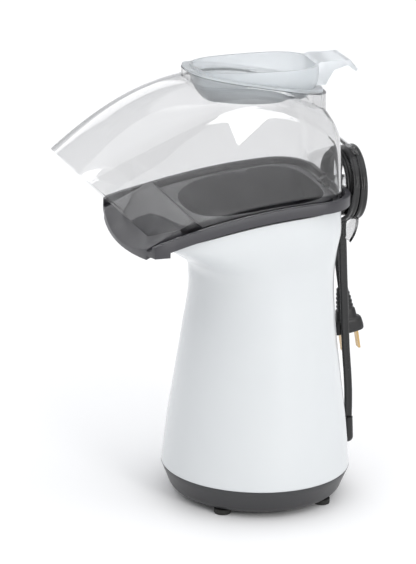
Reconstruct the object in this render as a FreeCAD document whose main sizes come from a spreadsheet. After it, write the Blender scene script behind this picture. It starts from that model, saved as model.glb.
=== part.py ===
"""Hot-air popcorn maker: a white turned-looking housing on a dark base, with a dark chute tray, a clear
hood, a lift-out measuring cup, and the motor, fan, heater and popping chamber inside.

Millimetres. +Z is up and the feet stand on z = 0. The chute faces -Y and the cord hook +Y. The housing
is round about a vertical line at x = 0, y = axis_y, which puts the origin under the middle of the object.
Every driving size is a cell of the sheet "Sizes". Shapes are laid out about the housing's own axis, and
each piece's Placement then carries it to axis_y.
"""
import FreeCAD, Part
import math
import os

import Sketcher
from FreeCAD import Rotation, Vector

DOCUMENT = FreeCAD.newDocument("popcorn_maker")

# ---------------------------------------------------------------------------------------------------
# Driving sizes: alias, value in mm (or a count, or degrees where it says so), and what it is
# ---------------------------------------------------------------------------------------------------
SIZES = (
    ("axis_y", 41.5, "housing axis, from the middle of the whole object"),
    ("wall", 2.2, "moulded wall of the housing"),
    # feet and base
    ("foot_across", 41.5, "foot centres from the axis, along X"),
    ("foot_along", 39.7, "foot centres from the axis, along Y"),
    ("foot_radius", 6.5, "rubber foot"),
    ("foot_height", 4.0, "rubber foot below the base floor"),
    ("foot_stem_radius", 3.0, "stem of the foot in the base floor"),
    ("base_wall", 2.5, "base moulding"),
    ("base_floor_radius", 59.0, "flat part of the base floor"),
    ("base_knee_radius", 66.2, "base just above its rounded bottom edge"),
    ("base_knee_height", 10.0, "height of that point"),
    ("base_knee_round", 9.0, "rounding of the bottom edge"),
    ("seam_height", 24.0, "seam between the base and the housing"),
    ("seam_radius", 72.0, "housing at the seam"),
    ("lip_height", 4.0, "base lip inside the housing"),
    ("lip_gap", 0.2, "clearance round the base lip"),
    ("lip_taper", 0.7, "how much narrower the lip's top is"),
    ("vent_count", 16.0, "air slots in the base floor"),
    ("vent_inner", 20.0, "inner end of an air slot"),
    ("vent_outer", 44.0, "outer end of an air slot"),
    ("vent_width", 3.6, "width of an air slot"),
    ("base_screw_circle", 54.5, "base screws from the axis"),
    ("boss_radius", 4.6, "screw boss"),
    ("counterbore_radius", 4.0, "deep hole for a base screw's head"),
    ("counterbore_depth", 20.0, "depth of that hole"),
    ("screw_radius", 2.0, "screw shank"),
    ("screw_head_radius", 3.6, "screw head"),
    ("screw_head_height", 2.4, "screw head"),
    ("base_screw_length", 18.0, "base screw shank"),
    # fan housing and fan
    ("fan_floor_height", 52.0, "underside of the fan housing"),
    ("fan_floor_thick", 2.0, "fan housing floor"),
    ("fan_housing_radius", 49.0, "outside of the fan housing"),
    ("fan_eye_radius", 30.0, "air inlet in the fan housing floor"),
    ("fan_flange_height", 77.0, "underside of the fan housing flange"),
    ("fan_flange_radius", 60.5, "outside of the flange"),
    ("fan_outlet_radius", 44.0, "air outlet at the top of the fan housing"),
    ("fan_screw_circle", 56.0, "fan housing screws from the axis"),
    ("fan_screw_length", 12.0, "fan housing screw shank"),
    ("fan_radius", 41.0, "tip of a fan blade"),
    ("fan_hub_radius", 9.0, "fan hub"),
    ("fan_hub_base", 58.0, "underside of the fan hub"),
    ("fan_hub_height", 14.0, "fan hub"),
    ("fan_blade_chord", 17.0, "fan blade, along its tilt"),
    ("fan_blade_thick", 1.6, "fan blade"),
    ("fan_blade_count", 7.0, "fan blades"),
    # motor
    ("motor_radius", 15.5, "steel motor can"),
    ("motor_wall", 1.0, "steel motor can"),
    ("motor_base", 18.0, "open end of the motor can"),
    ("motor_top", 50.0, "closed end of the motor can"),
    ("magnet_thick", 3.2, "arc magnet"),
    ("magnet_height", 20.0, "arc magnet"),
    ("magnet_base", 24.0, "underside of the magnets"),
    ("core_radius", 10.6, "armature core"),
    ("core_base", 26.0, "underside of the armature core"),
    ("core_height", 15.0, "armature core"),
    ("core_slots", 5.0, "winding slots"),
    ("winding_radius", 8.6, "winding ends"),
    ("winding_height", 3.0, "winding ends"),
    ("commutator_radius", 3.4, "commutator"),
    ("commutator_base", 18.4, "underside of the commutator"),
    ("commutator_height", 4.2, "commutator"),
    ("shaft_radius", 1.6, "motor shaft"),
    ("shaft_base", 13.6, "lower end of the motor shaft"),
    ("shaft_top", 70.0, "upper end of the motor shaft"),
    ("bearing_gap", 0.05, "running clearance of the shaft in its bearings"),
    ("bearing_radius", 3.6, "sintered bearing"),
    ("bearing_height", 3.0, "sintered bearing"),
    ("end_cap_base", 14.0, "underside of the motor end cap"),
    ("brush_width", 3.0, "carbon brush"),
    ("board_radius", 14.0, "rectifier board"),
    ("board_base", 11.0, "underside of the rectifier board"),
    ("board_thick", 1.6, "rectifier board"),
    ("diode_radius", 1.35, "rectifier diode"),
    ("diode_length", 5.2, "rectifier diode"),
    ("bracket_radius", 20.0, "middle of the motor bracket"),
    ("bracket_reach", 47.0, "end of a bracket arm"),
    ("bracket_arm", 9.0, "width of a bracket arm"),
    ("motor_screw_circle", 9.5, "motor screws from the axis"),
    ("bracket_screw_circle", 41.0, "bracket screws from the axis"),
    ("small_screw_radius", 1.4, "small screw shank"),
    ("small_head_radius", 2.6, "small screw head"),
    ("small_head_height", 1.6, "small screw head"),
    # heater and duct
    ("duct_radius", 50.0, "outside of the air duct"),
    ("duct_wall", 1.0, "sheet of the air duct"),
    ("duct_base", 79.0, "underside of the air duct"),
    ("duct_top", 152.0, "top of the air duct"),
    ("mica_half_width", 48.8, "heater cross, just inside the duct"),
    ("mica_base", 79.0, "underside of the heater cross, on the fan housing"),
    ("mica_height", 40.0, "heater cross"),
    ("mica_thick", 1.0, "heater cross"),
    ("heater_radius", 27.0, "turn of the heating wire"),
    ("heater_wire", 0.9, "radius of the coiled heating wire"),
    ("heater_turns", 6.0, "turns of the heating wire"),
    ("heater_pitch", 6.0, "step between turns"),
    ("thermostat_radius", 7.0, "thermostat"),
    ("thermostat_height", 120.0, "centre of the thermostat"),
    ("thermostat_depth", 5.0, "thermostat"),
    ("fuse_radius", 1.9, "thermal fuse"),
    ("fuse_length", 13.0, "thermal fuse"),
    # popping chamber
    ("chamber_radius", 45.5, "outside of the popping chamber"),
    ("chamber_wall", 1.0, "aluminium of the chamber"),
    ("chamber_base", 128.0, "underside of the chamber floor"),
    ("chamber_top", 206.0, "top of the chamber flange"),
    ("chamber_flange", 49.0, "outside of the chamber flange"),
    ("chamber_dome", 9.0, "rise of the chamber floor's middle"),
    ("louvre_count", 24.0, "air slots round the chamber"),
    ("louvre_base", 134.0, "underside of an air slot"),
    ("louvre_height", 9.0, "air slot"),
    ("louvre_width", 2.6, "air slot"),
    ("gasket_thick", 2.0, "silicone ring on the chamber flange"),
    # housing above the waist: the height, half width, front and back of each level
    ("waist_height", 168.0, "narrowest level"),
    ("waist_radius", 55.2, "housing at the waist"),
    ("belly_height", 96.0, "level between the seam and the waist"),
    ("belly_radius", 63.3, "housing at that level"),
    ("shell_half_width", 61.8, "housing under the tray"),
    ("shell_front", 91.0, "front edge of the housing, ahead of its axis"),
    ("shell_back", 54.2, "back of the housing under the tray"),
    # the tray's side view is an arc, and the housing's top edge follows it
    ("arc_behind", 46.1, "arc centre behind the axis"),
    ("arc_below", 242.0, "arc centre below the floor"),
    ("rim_arc", 488.2, "top of the tray rim"),
    ("ledge_arc", 483.4, "channel for the hood"),
    ("inner_arc", 486.0, "tray inside the channel"),
    ("skirt_arc", 480.0, "underside of the tray skirt"),
    ("shell_arc", 477.8, "top edge of the housing"),
    # tray
    ("tray_half_width", 64.5, "tray"),
    ("tray_back", 55.5, "back of the tray behind the axis"),
    ("tray_front", 105.0, "front ends of the tray rim, ahead of the axis"),
    ("tray_corner", 31.0, "back corners of the tray"),
    ("tray_wall", 2.6, "tray moulding"),
    ("rim_width", 3.8, "rim outside the channel"),
    ("channel_width", 9.1, "channel for the hood"),
    ("well_front", 68.0, "front of the well, ahead of the axis"),
    ("well_foot", 208.0, "lower end of the well"),
    ("well_foot_radius", 44.5, "inside of the well's lower end"),
    ("ridge_front", 71.5, "ridge of the chute, ahead of the axis"),
    ("ridge_height", 236.5, "ridge of the chute"),
    ("chute_half_width", 52.7, "chute"),
    ("chute_mouth", 100.7, "front of the chute's straight slope, ahead of the axis"),
    ("chute_mouth_height", 221.2, "chute there, at its sides"),
    ("lip_reach", 113.0, "middle of the chute lip, ahead of the axis"),
    ("lip_height_side", 214.5, "chute lip at its sides"),
    ("lip_sag", 5.5, "how much lower its middle is"),
    ("front_block", 12.0, "deeper stretch at the front of the skirt"),
    ("front_block_base", 213.4, "underside of that stretch"),
    # hood
    ("hood_wall", 2.2, "clear hood"),
    ("hood_half_width", 57.0, "hood at its foot"),
    ("hood_back", 50.0, "hood's back at its foot"),
    ("hood_corner", 24.5, "hood's back corners"),
    ("mouth_foot", 101.0, "mouth's foot, ahead of the axis"),
    ("mouth_foot_height", 221.5, "mouth's foot"),
    ("mouth_tip", 165.0, "tip of the roof, ahead of the axis"),
    ("mouth_tip_height", 282.5, "tip of the roof"),
    ("neck_front", 64.0, "front of the neck, ahead of the axis"),
    ("neck_back", 42.5, "back of the neck"),
    ("neck_half_front", 29.5, "half width of the neck at the front"),
    ("neck_half_back", 33.5, "half width of the neck at the back"),
    ("neck_front_height", 337.0, "neck rim at the front"),
    ("neck_back_height", 317.0, "neck rim at the back"),
    # cord hook on the hood
    ("post_radius", 9.0, "post of the cord hook"),
    ("post_height", 238.0, "centre of the post"),
    ("post_gap", 0.7, "clearance round the post in its notch"),
    ("hook_back", 73.0, "outer face of the hook plate"),
    ("hook_thick", 2.4, "hook plate"),
    ("hook_half_width", 13.0, "hook plate"),
    ("hook_top", 276.0, "top of the upper horn"),
    ("hook_foot", 197.0, "end of the lower horn"),
    # cup
    ("cup_rim_height", 338.8, "rim of the measuring cup"),
    ("cup_front", 57.5, "front of the cup rim, ahead of the axis"),
    ("cup_back", 37.5, "back of the cup rim"),
    ("cup_half_front", 26.0, "half width of the cup at the front"),
    ("cup_half_back", 30.5, "half width of the cup at the back"),
    ("cup_foot_height", 314.5, "underside of the cup"),
    ("cup_wall", 1.8, "cup"),
    ("cup_gap", 0.3, "the cup's ledge above the neck's rim"),
    ("handle_half_width", 15.0, "cup handle"),
    ("handle_back", 67.0, "end of the cup handle"),
    ("handle_thick", 2.8, "cup handle"),
    ("handle_top", 340.4, "cup handle"),
    # cord
    ("cord_width", 6.4, "flat cord, its width"),
    ("gland_height", 36.0, "cord gland in the housing wall"),
    ("gland_radius", 4.6, "cord gland"),
    ("gland_back", 75.0, "upright part of the gland, behind the axis"),
    ("gland_top", 52.0, "top of the gland"),
    ("coil_radius", 29.0, "coil of cord on the hook"),
    ("coil_hole", 13.5, "hole of the coil"),
    ("coil_height", 241.0, "centre of the coil"),
    ("coil_front", 56.4, "near face of the coil, behind the axis"),
    ("coil_back", 70.2, "far face of the coil, behind the axis"),
    ("coil_round_front", 2.0, "rounding of the coil's near edge"),
    ("coil_round_back", 11.5, "rounding of the coil's far edge, inside the hook's horns"),
    ("plug_face", 119.0, "middle of the plug's face"),
    ("plug_back", 75.4, "that point behind the axis"),
    ("plug_across", -7.0, "that point, to the side"),
    ("plug_length", 36.5, "plug, from its face to the cord"),
    ("plug_width", 24.6, "plug at its face"),
    ("plug_neck", 9.6, "plug where the cord leaves it"),
    ("plug_thick", 12.4, "plug"),
    ("blade_length", 14.5, "plug blades"),
    ("blade_spacing", 12.7, "between the plug blades' centres"),
    ("blade_width", 6.35, "plug blade"),
    ("blade_thick", 1.5, "plug blade"),
)

SHEET = DOCUMENT.addObject("Spreadsheet::Sheet", "Sizes")
for row, (alias, size, meaning) in enumerate(SIZES, start=1):
    SHEET.set(f"A{row}", alias)
    SHEET.set(f"B{row}", str(size))
    SHEET.set(f"C{row}", meaning)
    SHEET.setAlias(f"B{row}", alias)
DOCUMENT.recompute()


class Dim:
    """A length worked out from the sheet: its text for an expression, and its value now."""

    def __init__(self, text, value):
        self.text = text
        self.value = value

    @staticmethod
    def of(size):
        return size if isinstance(size, Dim) else Dim(repr(float(size)), float(size))

    def __add__(self, other):
        other = Dim.of(other)
        return Dim(f"({self.text} + {other.text})", self.value + other.value)

    def __sub__(self, other):
        other = Dim.of(other)
        return Dim(f"({self.text} - {other.text})", self.value - other.value)

    def __rsub__(self, other):
        return Dim.of(other) - self

    def __mul__(self, factor):
        factor = Dim.of(factor)
        return Dim(f"({self.text} * {factor.text})", self.value * factor.value)

    def __neg__(self):
        return Dim(f"(0 - {self.text})", -self.value)

    __radd__ = __add__
    __rmul__ = __mul__


def size(alias):
    """The sheet's cell of that name, for an expression."""
    return Dim(f"Sizes.{alias}", float(SHEET.get(alias)))


def number(alias):
    """The sheet's cell of that name, as a plain number."""
    return float(SHEET.get(alias))


def bind(thing, **properties):
    """Ties properties of an object to the sheet. A double underscore stands for a dot."""
    for name, dim in properties.items():
        thing.setExpression(name.replace("__", "."), Dim.of(dim).text)


def place(thing, x=0.0, y=0.0, z=0.0):
    """Ties a piece's Placement to the sheet: y counts from the housing's axis."""
    bind(thing, Placement__Base__x=x, Placement__Base__y=size("axis_y") + y, Placement__Base__z=z)


PIECES = []


def keep(thing, label, x=0.0, y=0.0, z=0.0):
    """Names a finished piece, places it and lists it for the export."""
    thing.Label = label
    place(thing, x, y, z)
    PIECES.append(thing)
    return thing


# ---------------------------------------------------------------------------------------------------
# PartDesign helpers
# ---------------------------------------------------------------------------------------------------
def new_body(name):
    return DOCUMENT.addObject("PartDesign::Body", name + "_body")


def origin_feature(body, role):
    return next(f for f in body.Origin.OriginFeatures if f.Role == role)


def new_sketch(body, name, plane="XZ_Plane", offset=None):
    """A sketch on one of the body's own origin planes, raised along its normal by offset."""
    sketch = body.newObject("Sketcher::SketchObject", f"{body.Name}_{name}")
    sketch.AttachmentSupport = [(origin_feature(body, plane), "")]
    sketch.MapMode = "FlatFace"
    if offset is not None:
        bind(sketch, AttachmentOffset__Base__z=offset)
    return sketch


def fix_point(sketch, geometry, end, across, up):
    """Holds one end of a sketch line or arc at a place given by the sheet."""
    for kind, dim in (("DistanceX", Dim.of(across)), ("DistanceY", Dim.of(up))):
        if abs(dim.value) < 1e-9:
            axis = -2 if kind == "DistanceX" else -1
            sketch.addConstraint(Sketcher.Constraint("PointOnObject", geometry, end, axis))
            continue
        index = sketch.addConstraint(Sketcher.Constraint(kind, -1, 1, geometry, end, dim.value))
        sketch.setExpression(f"Constraints[{index}]", dim.text)


def draw_outline(sketch, corners, rounds=None):
    """A closed outline through corners, each (across, up). rounds gives a stretch that is an arc:
    the number of its first corner and its radius, positive where it swells to the right of the way
    the outline runs."""
    rounds = rounds or {}
    points = [Vector(Dim.of(a).value, Dim.of(b).value, 0) for a, b in corners]
    count = len(points)
    ends = []
    for i, start in enumerate(points):
        finish = points[(i + 1) % count]
        if i not in rounds:
            ends.append((sketch.addGeometry(Part.LineSegment(start, finish), False), 1, 2))
            continue
        radius = Dim.of(rounds[i])
        chord = finish - start
        side = Vector(chord.y, -chord.x, 0).normalize() * (1 if radius.value > 0 else -1)
        reach = math.sqrt(max(radius.value ** 2 - (chord.Length / 2) ** 2, 0))
        centre = (start + finish) * 0.5 - side * reach
        first, last = (start, finish) if radius.value > 0 else (finish, start)
        angles = [math.atan2(p.y - centre.y, p.x - centre.x) for p in (first, last)]
        circle = Part.Circle(centre, Vector(0, 0, 1), abs(radius.value))
        index = sketch.addGeometry(Part.ArcOfCircle(circle, angles[0], angles[1]), False)
        ends.append((index, 1, 2) if radius.value > 0 else (index, 2, 1))
    for i in range(count):
        here, after = ends[i], ends[(i + 1) % count]
        sketch.addConstraint(Sketcher.Constraint("Coincident", here[0], here[2], after[0], after[1]))
    for i, (across, up) in enumerate(corners):
        fix_point(sketch, ends[i][0], ends[i][1], across, up)
    for i, radius in rounds.items():
        index = sketch.addConstraint(Sketcher.Constraint("Radius", ends[i][0], abs(Dim.of(radius).value)))
        sketch.setExpression(f"Constraints[{index}]", Dim.of(radius).text if Dim.of(radius).value > 0
                             else (-Dim.of(radius)).text)
    return sketch


def draw_circle(sketch, across, up, radius):
    """A circle whose centre and radius are tied to the sheet."""
    across, up, radius = Dim.of(across), Dim.of(up), Dim.of(radius)
    centre = Vector(across.value, up.value, 0)
    index = sketch.addGeometry(Part.Circle(centre, Vector(0, 0, 1), radius.value), False)
    fix_point(sketch, index, 3, across, up)
    constraint = sketch.addConstraint(Sketcher.Constraint("Radius", index, radius.value))
    sketch.setExpression(f"Constraints[{constraint}]", radius.text)
    return sketch


def revolve(body, sketch, name="turned"):
    """Turns a sketch about its own upright axis."""
    feature = body.newObject("PartDesign::Revolution", f"{body.Name}_{name}")
    feature.Profile = sketch
    feature.ReferenceAxis = (sketch, ["V_Axis"])
    feature.Angle = 360
    sketch.Visibility = False
    return feature


def pad(body, sketch, length, name="pad", midplane=False, reversed_way=False):
    feature = body.newObject("PartDesign::Pad", f"{body.Name}_{name}")
    feature.Profile = sketch
    feature.Midplane = midplane
    feature.Reversed = reversed_way
    bind(feature, Length=length)
    return feature


def pocket(body, sketch, length, name="pocket", upwards=True, midplane=False):
    """Cuts a sketch that looks along +Z into the solid above it, or below it."""
    feature = body.newObject("PartDesign::Pocket", f"{body.Name}_{name}")
    feature.Profile = sketch
    feature.Midplane = midplane
    feature.Reversed = upwards
    bind(feature, Length=length)
    DOCUMENT.recompute()
    before = feature.BaseFeature.Shape.Volume
    if not feature.Shape.Volume < before - 1e-3:
        raise RuntimeError(f"{feature.Name} cuts nothing")
    return feature


def polar(body, features, count, name="ring"):
    """Repeats features evenly round the body's upright axis."""
    pattern = body.newObject("PartDesign::PolarPattern", f"{body.Name}_{name}")
    pattern.Originals = features
    pattern.Axis = (origin_feature(body, "Z_Axis"), [""])
    pattern.Angle = 360
    bind(pattern, Occurrences=count)
    body.Tip = pattern
    return pattern


def turned(label, corners, rounds=None, **where):
    """A piece turned about the upright axis from one outline."""
    body = new_body(label)
    sketch = draw_outline(new_sketch(body, "outline"), corners, rounds)
    revolve(body, sketch)
    return keep(body, label, **where)


def tube_outline(inner, outer, low, high):
    return [(inner, low), (outer, low), (outer, high), (inner, high)]


# ---------------------------------------------------------------------------------------------------
# Part helpers
# ---------------------------------------------------------------------------------------------------
def cylinder(name, radius, height, x=0.0, y=0.0, z=0.0, turn=None):
    """A cylinder on its lower end, or turned by a Rotation about that end's centre."""
    piece = DOCUMENT.addObject("Part::Cylinder", name)
    if turn is not None:
        piece.Placement.Rotation = turn
    bind(piece, Radius=radius, Height=height, Placement__Base__x=x, Placement__Base__y=y,
         Placement__Base__z=z)
    return piece


def cone(name, low_radius, high_radius, height, x=0.0, y=0.0, z=0.0):
    piece = DOCUMENT.addObject("Part::Cone", name)
    bind(piece, Radius1=low_radius, Radius2=high_radius, Height=height, Placement__Base__x=x,
         Placement__Base__y=y, Placement__Base__z=z)
    return piece


def box(name, length, width, height, x=0.0, y=0.0, z=0.0):
    """A box centred on x and y, standing on z."""
    piece = DOCUMENT.addObject("Part::Box", name)
    length, width = Dim.of(length), Dim.of(width)
    bind(piece, Length=length, Width=width, Height=height, Placement__Base__x=x - length * 0.5,
         Placement__Base__y=y - width * 0.5, Placement__Base__z=z)
    return piece


def fuse(name, shapes):
    piece = DOCUMENT.addObject("Part::MultiFuse", name)
    piece.Shapes = shapes
    return piece


def group(name, shapes):
    """Separate solids kept as one piece."""
    piece = DOCUMENT.addObject("Part::Compound", name)
    piece.Links = shapes
    return piece


def cut(name, base, tool):
    piece = DOCUMENT.addObject("Part::Cut", name)
    piece.Base = base
    piece.Tool = tool
    return piece


def shaped(label, shape):
    """A piece whose form no sketch or primitive gives, set from a shape made with the sheet's sizes."""
    piece = DOCUMENT.addObject("Part::Feature", label + "_shape")
    piece.Shape = shape
    return keep(piece, label)


def on_circle(circle, degrees):
    """A point on a circle about the axis, as two lengths tied to the sheet."""
    return circle * math.cos(math.radians(degrees)), circle * math.sin(math.radians(degrees))


THREE_WAYS = (30, 150, 270)     # degrees round the axis of whatever is fixed by three screws
TO_BACK = Rotation(Vector(1, 0, 0), -90)    # turns +Z to +Y
TO_SIDE = Rotation(Vector(0, 1, 0), 90)     # turns +Z to +X


# ---------------------------------------------------------------------------------------------------
# Base, feet and base screws
# ---------------------------------------------------------------------------------------------------
def make_base_cover():
    """Dark bowl that closes the housing: air slots, three deep screw holes and a lip for the housing."""
    label = "base_cover"
    body = new_body(label)
    foot, wall, seam = size("foot_height"), size("base_wall"), size("seam_height")
    lip_outer = size("seam_radius") - size("wall") - size("lip_gap")
    lip_top_outer = lip_outer - size("lip_taper")
    corners = [
        (0, foot), (size("base_floor_radius"), foot), (size("base_knee_radius"), size("base_knee_height")),
        (size("seam_radius"), seam), (lip_outer, seam), (lip_top_outer, seam + size("lip_height")),
        (lip_outer - wall, seam + size("lip_height")), (lip_outer - wall, seam - 2),
        (size("base_knee_radius") - wall, size("base_knee_height") + 1),
        (size("base_floor_radius") - 1, foot + wall), (0, foot + wall),
    ]
    revolve(body, draw_outline(new_sketch(body, "outline"), corners, {1: size("base_knee_round")}))
    across, along = on_circle(size("base_screw_circle"), THREE_WAYS[0])
    post = new_sketch(body, "post", "XY_Plane", foot + 1)
    draw_circle(post, across, along, size("boss_radius") + 1)
    post_pad = pad(body, post, seam + size("lip_height") - foot - 1, "post_pad")
    polar(body, [post_pad], 3, "posts")
    DOCUMENT.recompute()
    for name, radius, depth in (("counterbore", size("counterbore_radius"), size("counterbore_depth")),
                                ("shank_hole", size("screw_radius") + 0.3, size("seam_height") + 8)):
        sketch = draw_circle(new_sketch(body, name, "XY_Plane", foot - 1), across, along, radius)
        polar(body, [pocket(body, sketch, depth + 1, name + "_cut")], 3, name + "s")
        DOCUMENT.recompute()
    slot = new_sketch(body, "slot", "XY_Plane", foot - 1)
    half = size("vent_width") * 0.5
    inner, outer = size("vent_inner"), size("vent_outer")
    draw_outline(slot, [(inner, -half), (outer, -half), (outer, half), (inner, half)],
                 {1: half * 1.1, 3: half * 1.1})
    polar(body, [pocket(body, slot, wall + 2, "slot_cut")], size("vent_count"), "slots")
    DOCUMENT.recompute()
    for i, (sx, sy) in enumerate(FOOT_SIDES):
        hole = new_sketch(body, f"stem_hole_{i}", "XY_Plane", foot - 1)
        draw_circle(hole, size("foot_across") * sx, size("foot_along") * sy, size("foot_stem_radius"))
        pocket(body, hole, wall + 2, f"stem_cut_{i}")
    keep(body, label)


FOOT_SIDES = ((1, 1), (-1, 1), (-1, -1), (1, -1))


def make_feet():
    """Four rubber feet, each with a stem through the base floor."""
    height, stem = size("foot_height"), size("foot_stem_radius")
    for i, (sx, sy) in enumerate(FOOT_SIDES, start=1):
        radius = size("foot_radius")
        corners = [(0, 0), (radius - 1, 0), (radius, 1), (radius, height), (stem, height),
                   (stem, height + size("base_wall")), (0, height + size("base_wall"))]
        turned(f"rubber_foot_{i}", corners, {1: 1.0}, x=size("foot_across") * sx,
               y=size("foot_along") * sy)


def screw(name, circle, degrees, head_base, head_radius, head_height, shank_radius, shank_length,
          head_down=True):
    """A pan-head screw: its head below its shank, or above it."""
    x, y = on_circle(circle, degrees)
    head_base, head_height, shank_length = Dim.of(head_base), Dim.of(head_height), Dim.of(shank_length)
    shank_base = head_base + head_height if head_down else head_base - shank_length
    return fuse(name, [cylinder(name + "_head", head_radius, head_height, x, y, head_base),
                       cylinder(name + "_shank", shank_radius, shank_length, x, y, shank_base)])


def make_screws(label, circle, ways, head_base, length, small=False, head_down=True):
    """One piece that holds every screw of one ring."""
    kind = "small_" if small else "screw_"
    shank = size("small_screw_radius") if small else size("screw_radius")
    screws = [screw(f"{label}_{i}", size(circle), degrees, head_base, size(kind + "head_radius"),
                    size(kind + "head_height"), shank, length, head_down)
              for i, degrees in enumerate(ways)]
    keep(group(label + "_group", screws), label)


# ---------------------------------------------------------------------------------------------------
# Fan housing, motor and fan
# ---------------------------------------------------------------------------------------------------
def make_fan_housing():
    """Round box about the fan, with the air inlet in its floor and a flange to screw it down."""
    floor, thick = size("fan_floor_height"), size("fan_floor_thick")
    outside, flange = size("fan_housing_radius"), size("fan_flange_height")
    label = "fan_housing"
    body = new_body(label)
    corners = [(size("fan_eye_radius"), floor), (outside, floor), (outside, flange),
               (size("fan_flange_radius"), flange), (size("fan_flange_radius"), flange + thick),
               (size("fan_outlet_radius"), flange + thick), (size("fan_outlet_radius"), flange),
               (outside - thick, flange), (outside - thick, floor + thick),
               (size("fan_eye_radius"), floor + thick)]
    revolve(body, draw_outline(new_sketch(body, "outline"), corners))
    DOCUMENT.recompute()
    for name, circle, radius, base in (
            ("flange_hole", "fan_screw_circle", size("screw_radius") + 0.2, flange - 1),
            ("bracket_hole", "bracket_screw_circle", size("small_screw_radius"), floor - 1)):
        across, along = on_circle(size(circle), THREE_WAYS[0])
        sketch = draw_circle(new_sketch(body, name, "XY_Plane", base), across, along, radius)
        polar(body, [pocket(body, sketch, thick + 2, name + "_cut")], 3, name + "s")
        DOCUMENT.recompute()
    keep(body, label)


def make_motor_bracket():
    """Three-armed plate that hangs the motor under the fan housing."""
    label = "motor_bracket"
    thick = size("fan_floor_height") - size("motor_top")
    plate = cylinder("bracket_plate", size("bracket_radius"), thick, z=size("motor_top"))
    arms = []
    for i, degrees in enumerate(THREE_WAYS):
        arm = DOCUMENT.addObject("Part::Box", f"bracket_arm_{i}")
        half = size("bracket_arm") * 0.5
        bind(arm, Length=size("bracket_reach"), Width=size("bracket_arm"), Height=thick,
             Placement__Base__x=half * math.sin(math.radians(degrees)),
             Placement__Base__y=-half * math.cos(math.radians(degrees)),
             Placement__Base__z=size("motor_top"))
        arm.Placement.Rotation = Rotation(Vector(0, 0, 1), degrees)
        arms.append(arm)
    holes = [cylinder("bracket_shaft_hole", size("bearing_radius") + 1, thick + 2,
                      z=size("motor_top") - 1)]
    for i, degrees in enumerate(THREE_WAYS):
        x, y = on_circle(size("bracket_screw_circle"), degrees)
        holes.append(cylinder(f"bracket_arm_hole_{i}", size("small_screw_radius"), thick + 2, x, y,
                              size("motor_top") - 1))
    for i, degrees in enumerate(MOTOR_SCREW_WAYS):
        x, y = on_circle(size("motor_screw_circle"), degrees)
        holes.append(cylinder(f"bracket_motor_hole_{i}", size("small_screw_radius"), thick + 2, x, y,
                              size("motor_top") - 1))
    solid = fuse("bracket_solid", [plate] + arms)
    keep(cut("bracket_cut", solid, fuse("bracket_holes", holes)), label)


MOTOR_SCREW_WAYS = (0, 180)


def make_motor():
    """Direct-current motor: steel can, arc magnets, bearings, end cap and brushes."""
    radius, wall, base, top = (size(n) for n in ("motor_radius", "motor_wall", "motor_base", "motor_top"))
    bearing, bearing_height = size("bearing_radius"), size("bearing_height")
    can = new_body("motor_can")
    corners = [(radius - wall, base), (radius, base), (radius, top), (bearing - 1, top),
               (bearing - 1, top - wall), (bearing, top - wall), (bearing, top - wall - bearing_height),
               (bearing + 1.2, top - wall - bearing_height), (bearing + 1.2, top - wall),
               (radius - wall, top - wall)]
    revolve(can, draw_outline(new_sketch(can, "outline"), corners, {}))
    DOCUMENT.recompute()
    for i, degrees in enumerate(MOTOR_SCREW_WAYS):
        x, y = on_circle(size("motor_screw_circle"), degrees)
        hole = draw_circle(new_sketch(can, f"hole_{i}", "XY_Plane", top - wall - 1), x, y,
                           size("small_screw_radius"))
        pocket(can, hole, wall + 2, f"hole_cut_{i}")
    keep(can, "motor_can")

    magnet_ring = size("magnet_thick")
    inner = radius - wall - magnet_ring
    ring = cut("magnet_ring",
               cylinder("magnet_outer", radius - wall, size("magnet_height"), z=size("magnet_base")),
               cylinder("magnet_inner", inner, size("magnet_height") + 2, z=size("magnet_base") - 1))
    gap = box("magnet_gap", 8, radius * 2, size("magnet_height") + 2, z=size("magnet_base") - 1)
    keep(cut("magnet_halves", ring, gap), "motor_magnets")

    shaft_hole = size("shaft_radius") + size("bearing_gap")
    turned("upper_bearing", tube_outline(shaft_hole, bearing, top - wall - bearing_height, top - wall))
    cap = size("end_cap_base")
    turned("lower_bearing", tube_outline(shaft_hole, bearing, cap, cap + bearing_height))
    turned("motor_end_cap", [
        (bearing, cap), (radius, cap), (radius, base), (bearing + 4.5, base),
        (bearing + 4.5, base - 1.6), (bearing, base - 1.6)])
    brushes = [box(f"brush_{i}", 4.5, size("brush_width"), size("brush_width"),
                   x=(size("commutator_radius") + 2.4) * side, z=size("motor_base") + 0.8)
               for i, side in enumerate((1, -1))]
    keep(group("brush_pair", brushes), "carbon_brushes")


def make_rotor():
    """What turns: shaft, armature core with its windings, commutator and fan."""
    shaft = size("shaft_radius")
    turned("motor_shaft", [
        (0, size("shaft_base")), (shaft, size("shaft_base")), (shaft, size("shaft_top")),
        (0, size("shaft_top"))])
    core_base, core_height = size("core_base"), size("core_height")
    core = new_body("armature_core")
    revolve(core, draw_outline(new_sketch(core, "outline"), tube_outline(
        shaft, size("core_radius"), core_base, core_base + core_height)))
    slot = new_sketch(core, "slot", "XY_Plane", core_base - 1)
    draw_outline(slot, [(5.2, -2.6), (9.0, -2.6), (9.0, -0.8), (12.0, -0.8), (12.0, 0.8), (9.0, 0.8),
                        (9.0, 2.6), (5.2, 2.6)])
    DOCUMENT.recompute()
    polar(core, [pocket(core, slot, core_height + 2, "slot_cut")], size("core_slots"), "slots")
    keep(core, "armature_core")
    winding = size("winding_height")
    for name, low in (("lower", core_base - winding), ("upper", core_base + core_height)):
        turned(f"{name}_winding", [(shaft + 0.6, low), (size("winding_radius"), low),
                                   (size("winding_radius"), low + winding), (shaft + 0.6, low + winding)],
               {1: winding * 0.9})
    turned("commutator", tube_outline(shaft, size("commutator_radius"), size("commutator_base"),
                                      size("commutator_base") + size("commutator_height")))
    make_fan()


BLADE_TILT = 32     # degrees that a fan blade leans from level


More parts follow.
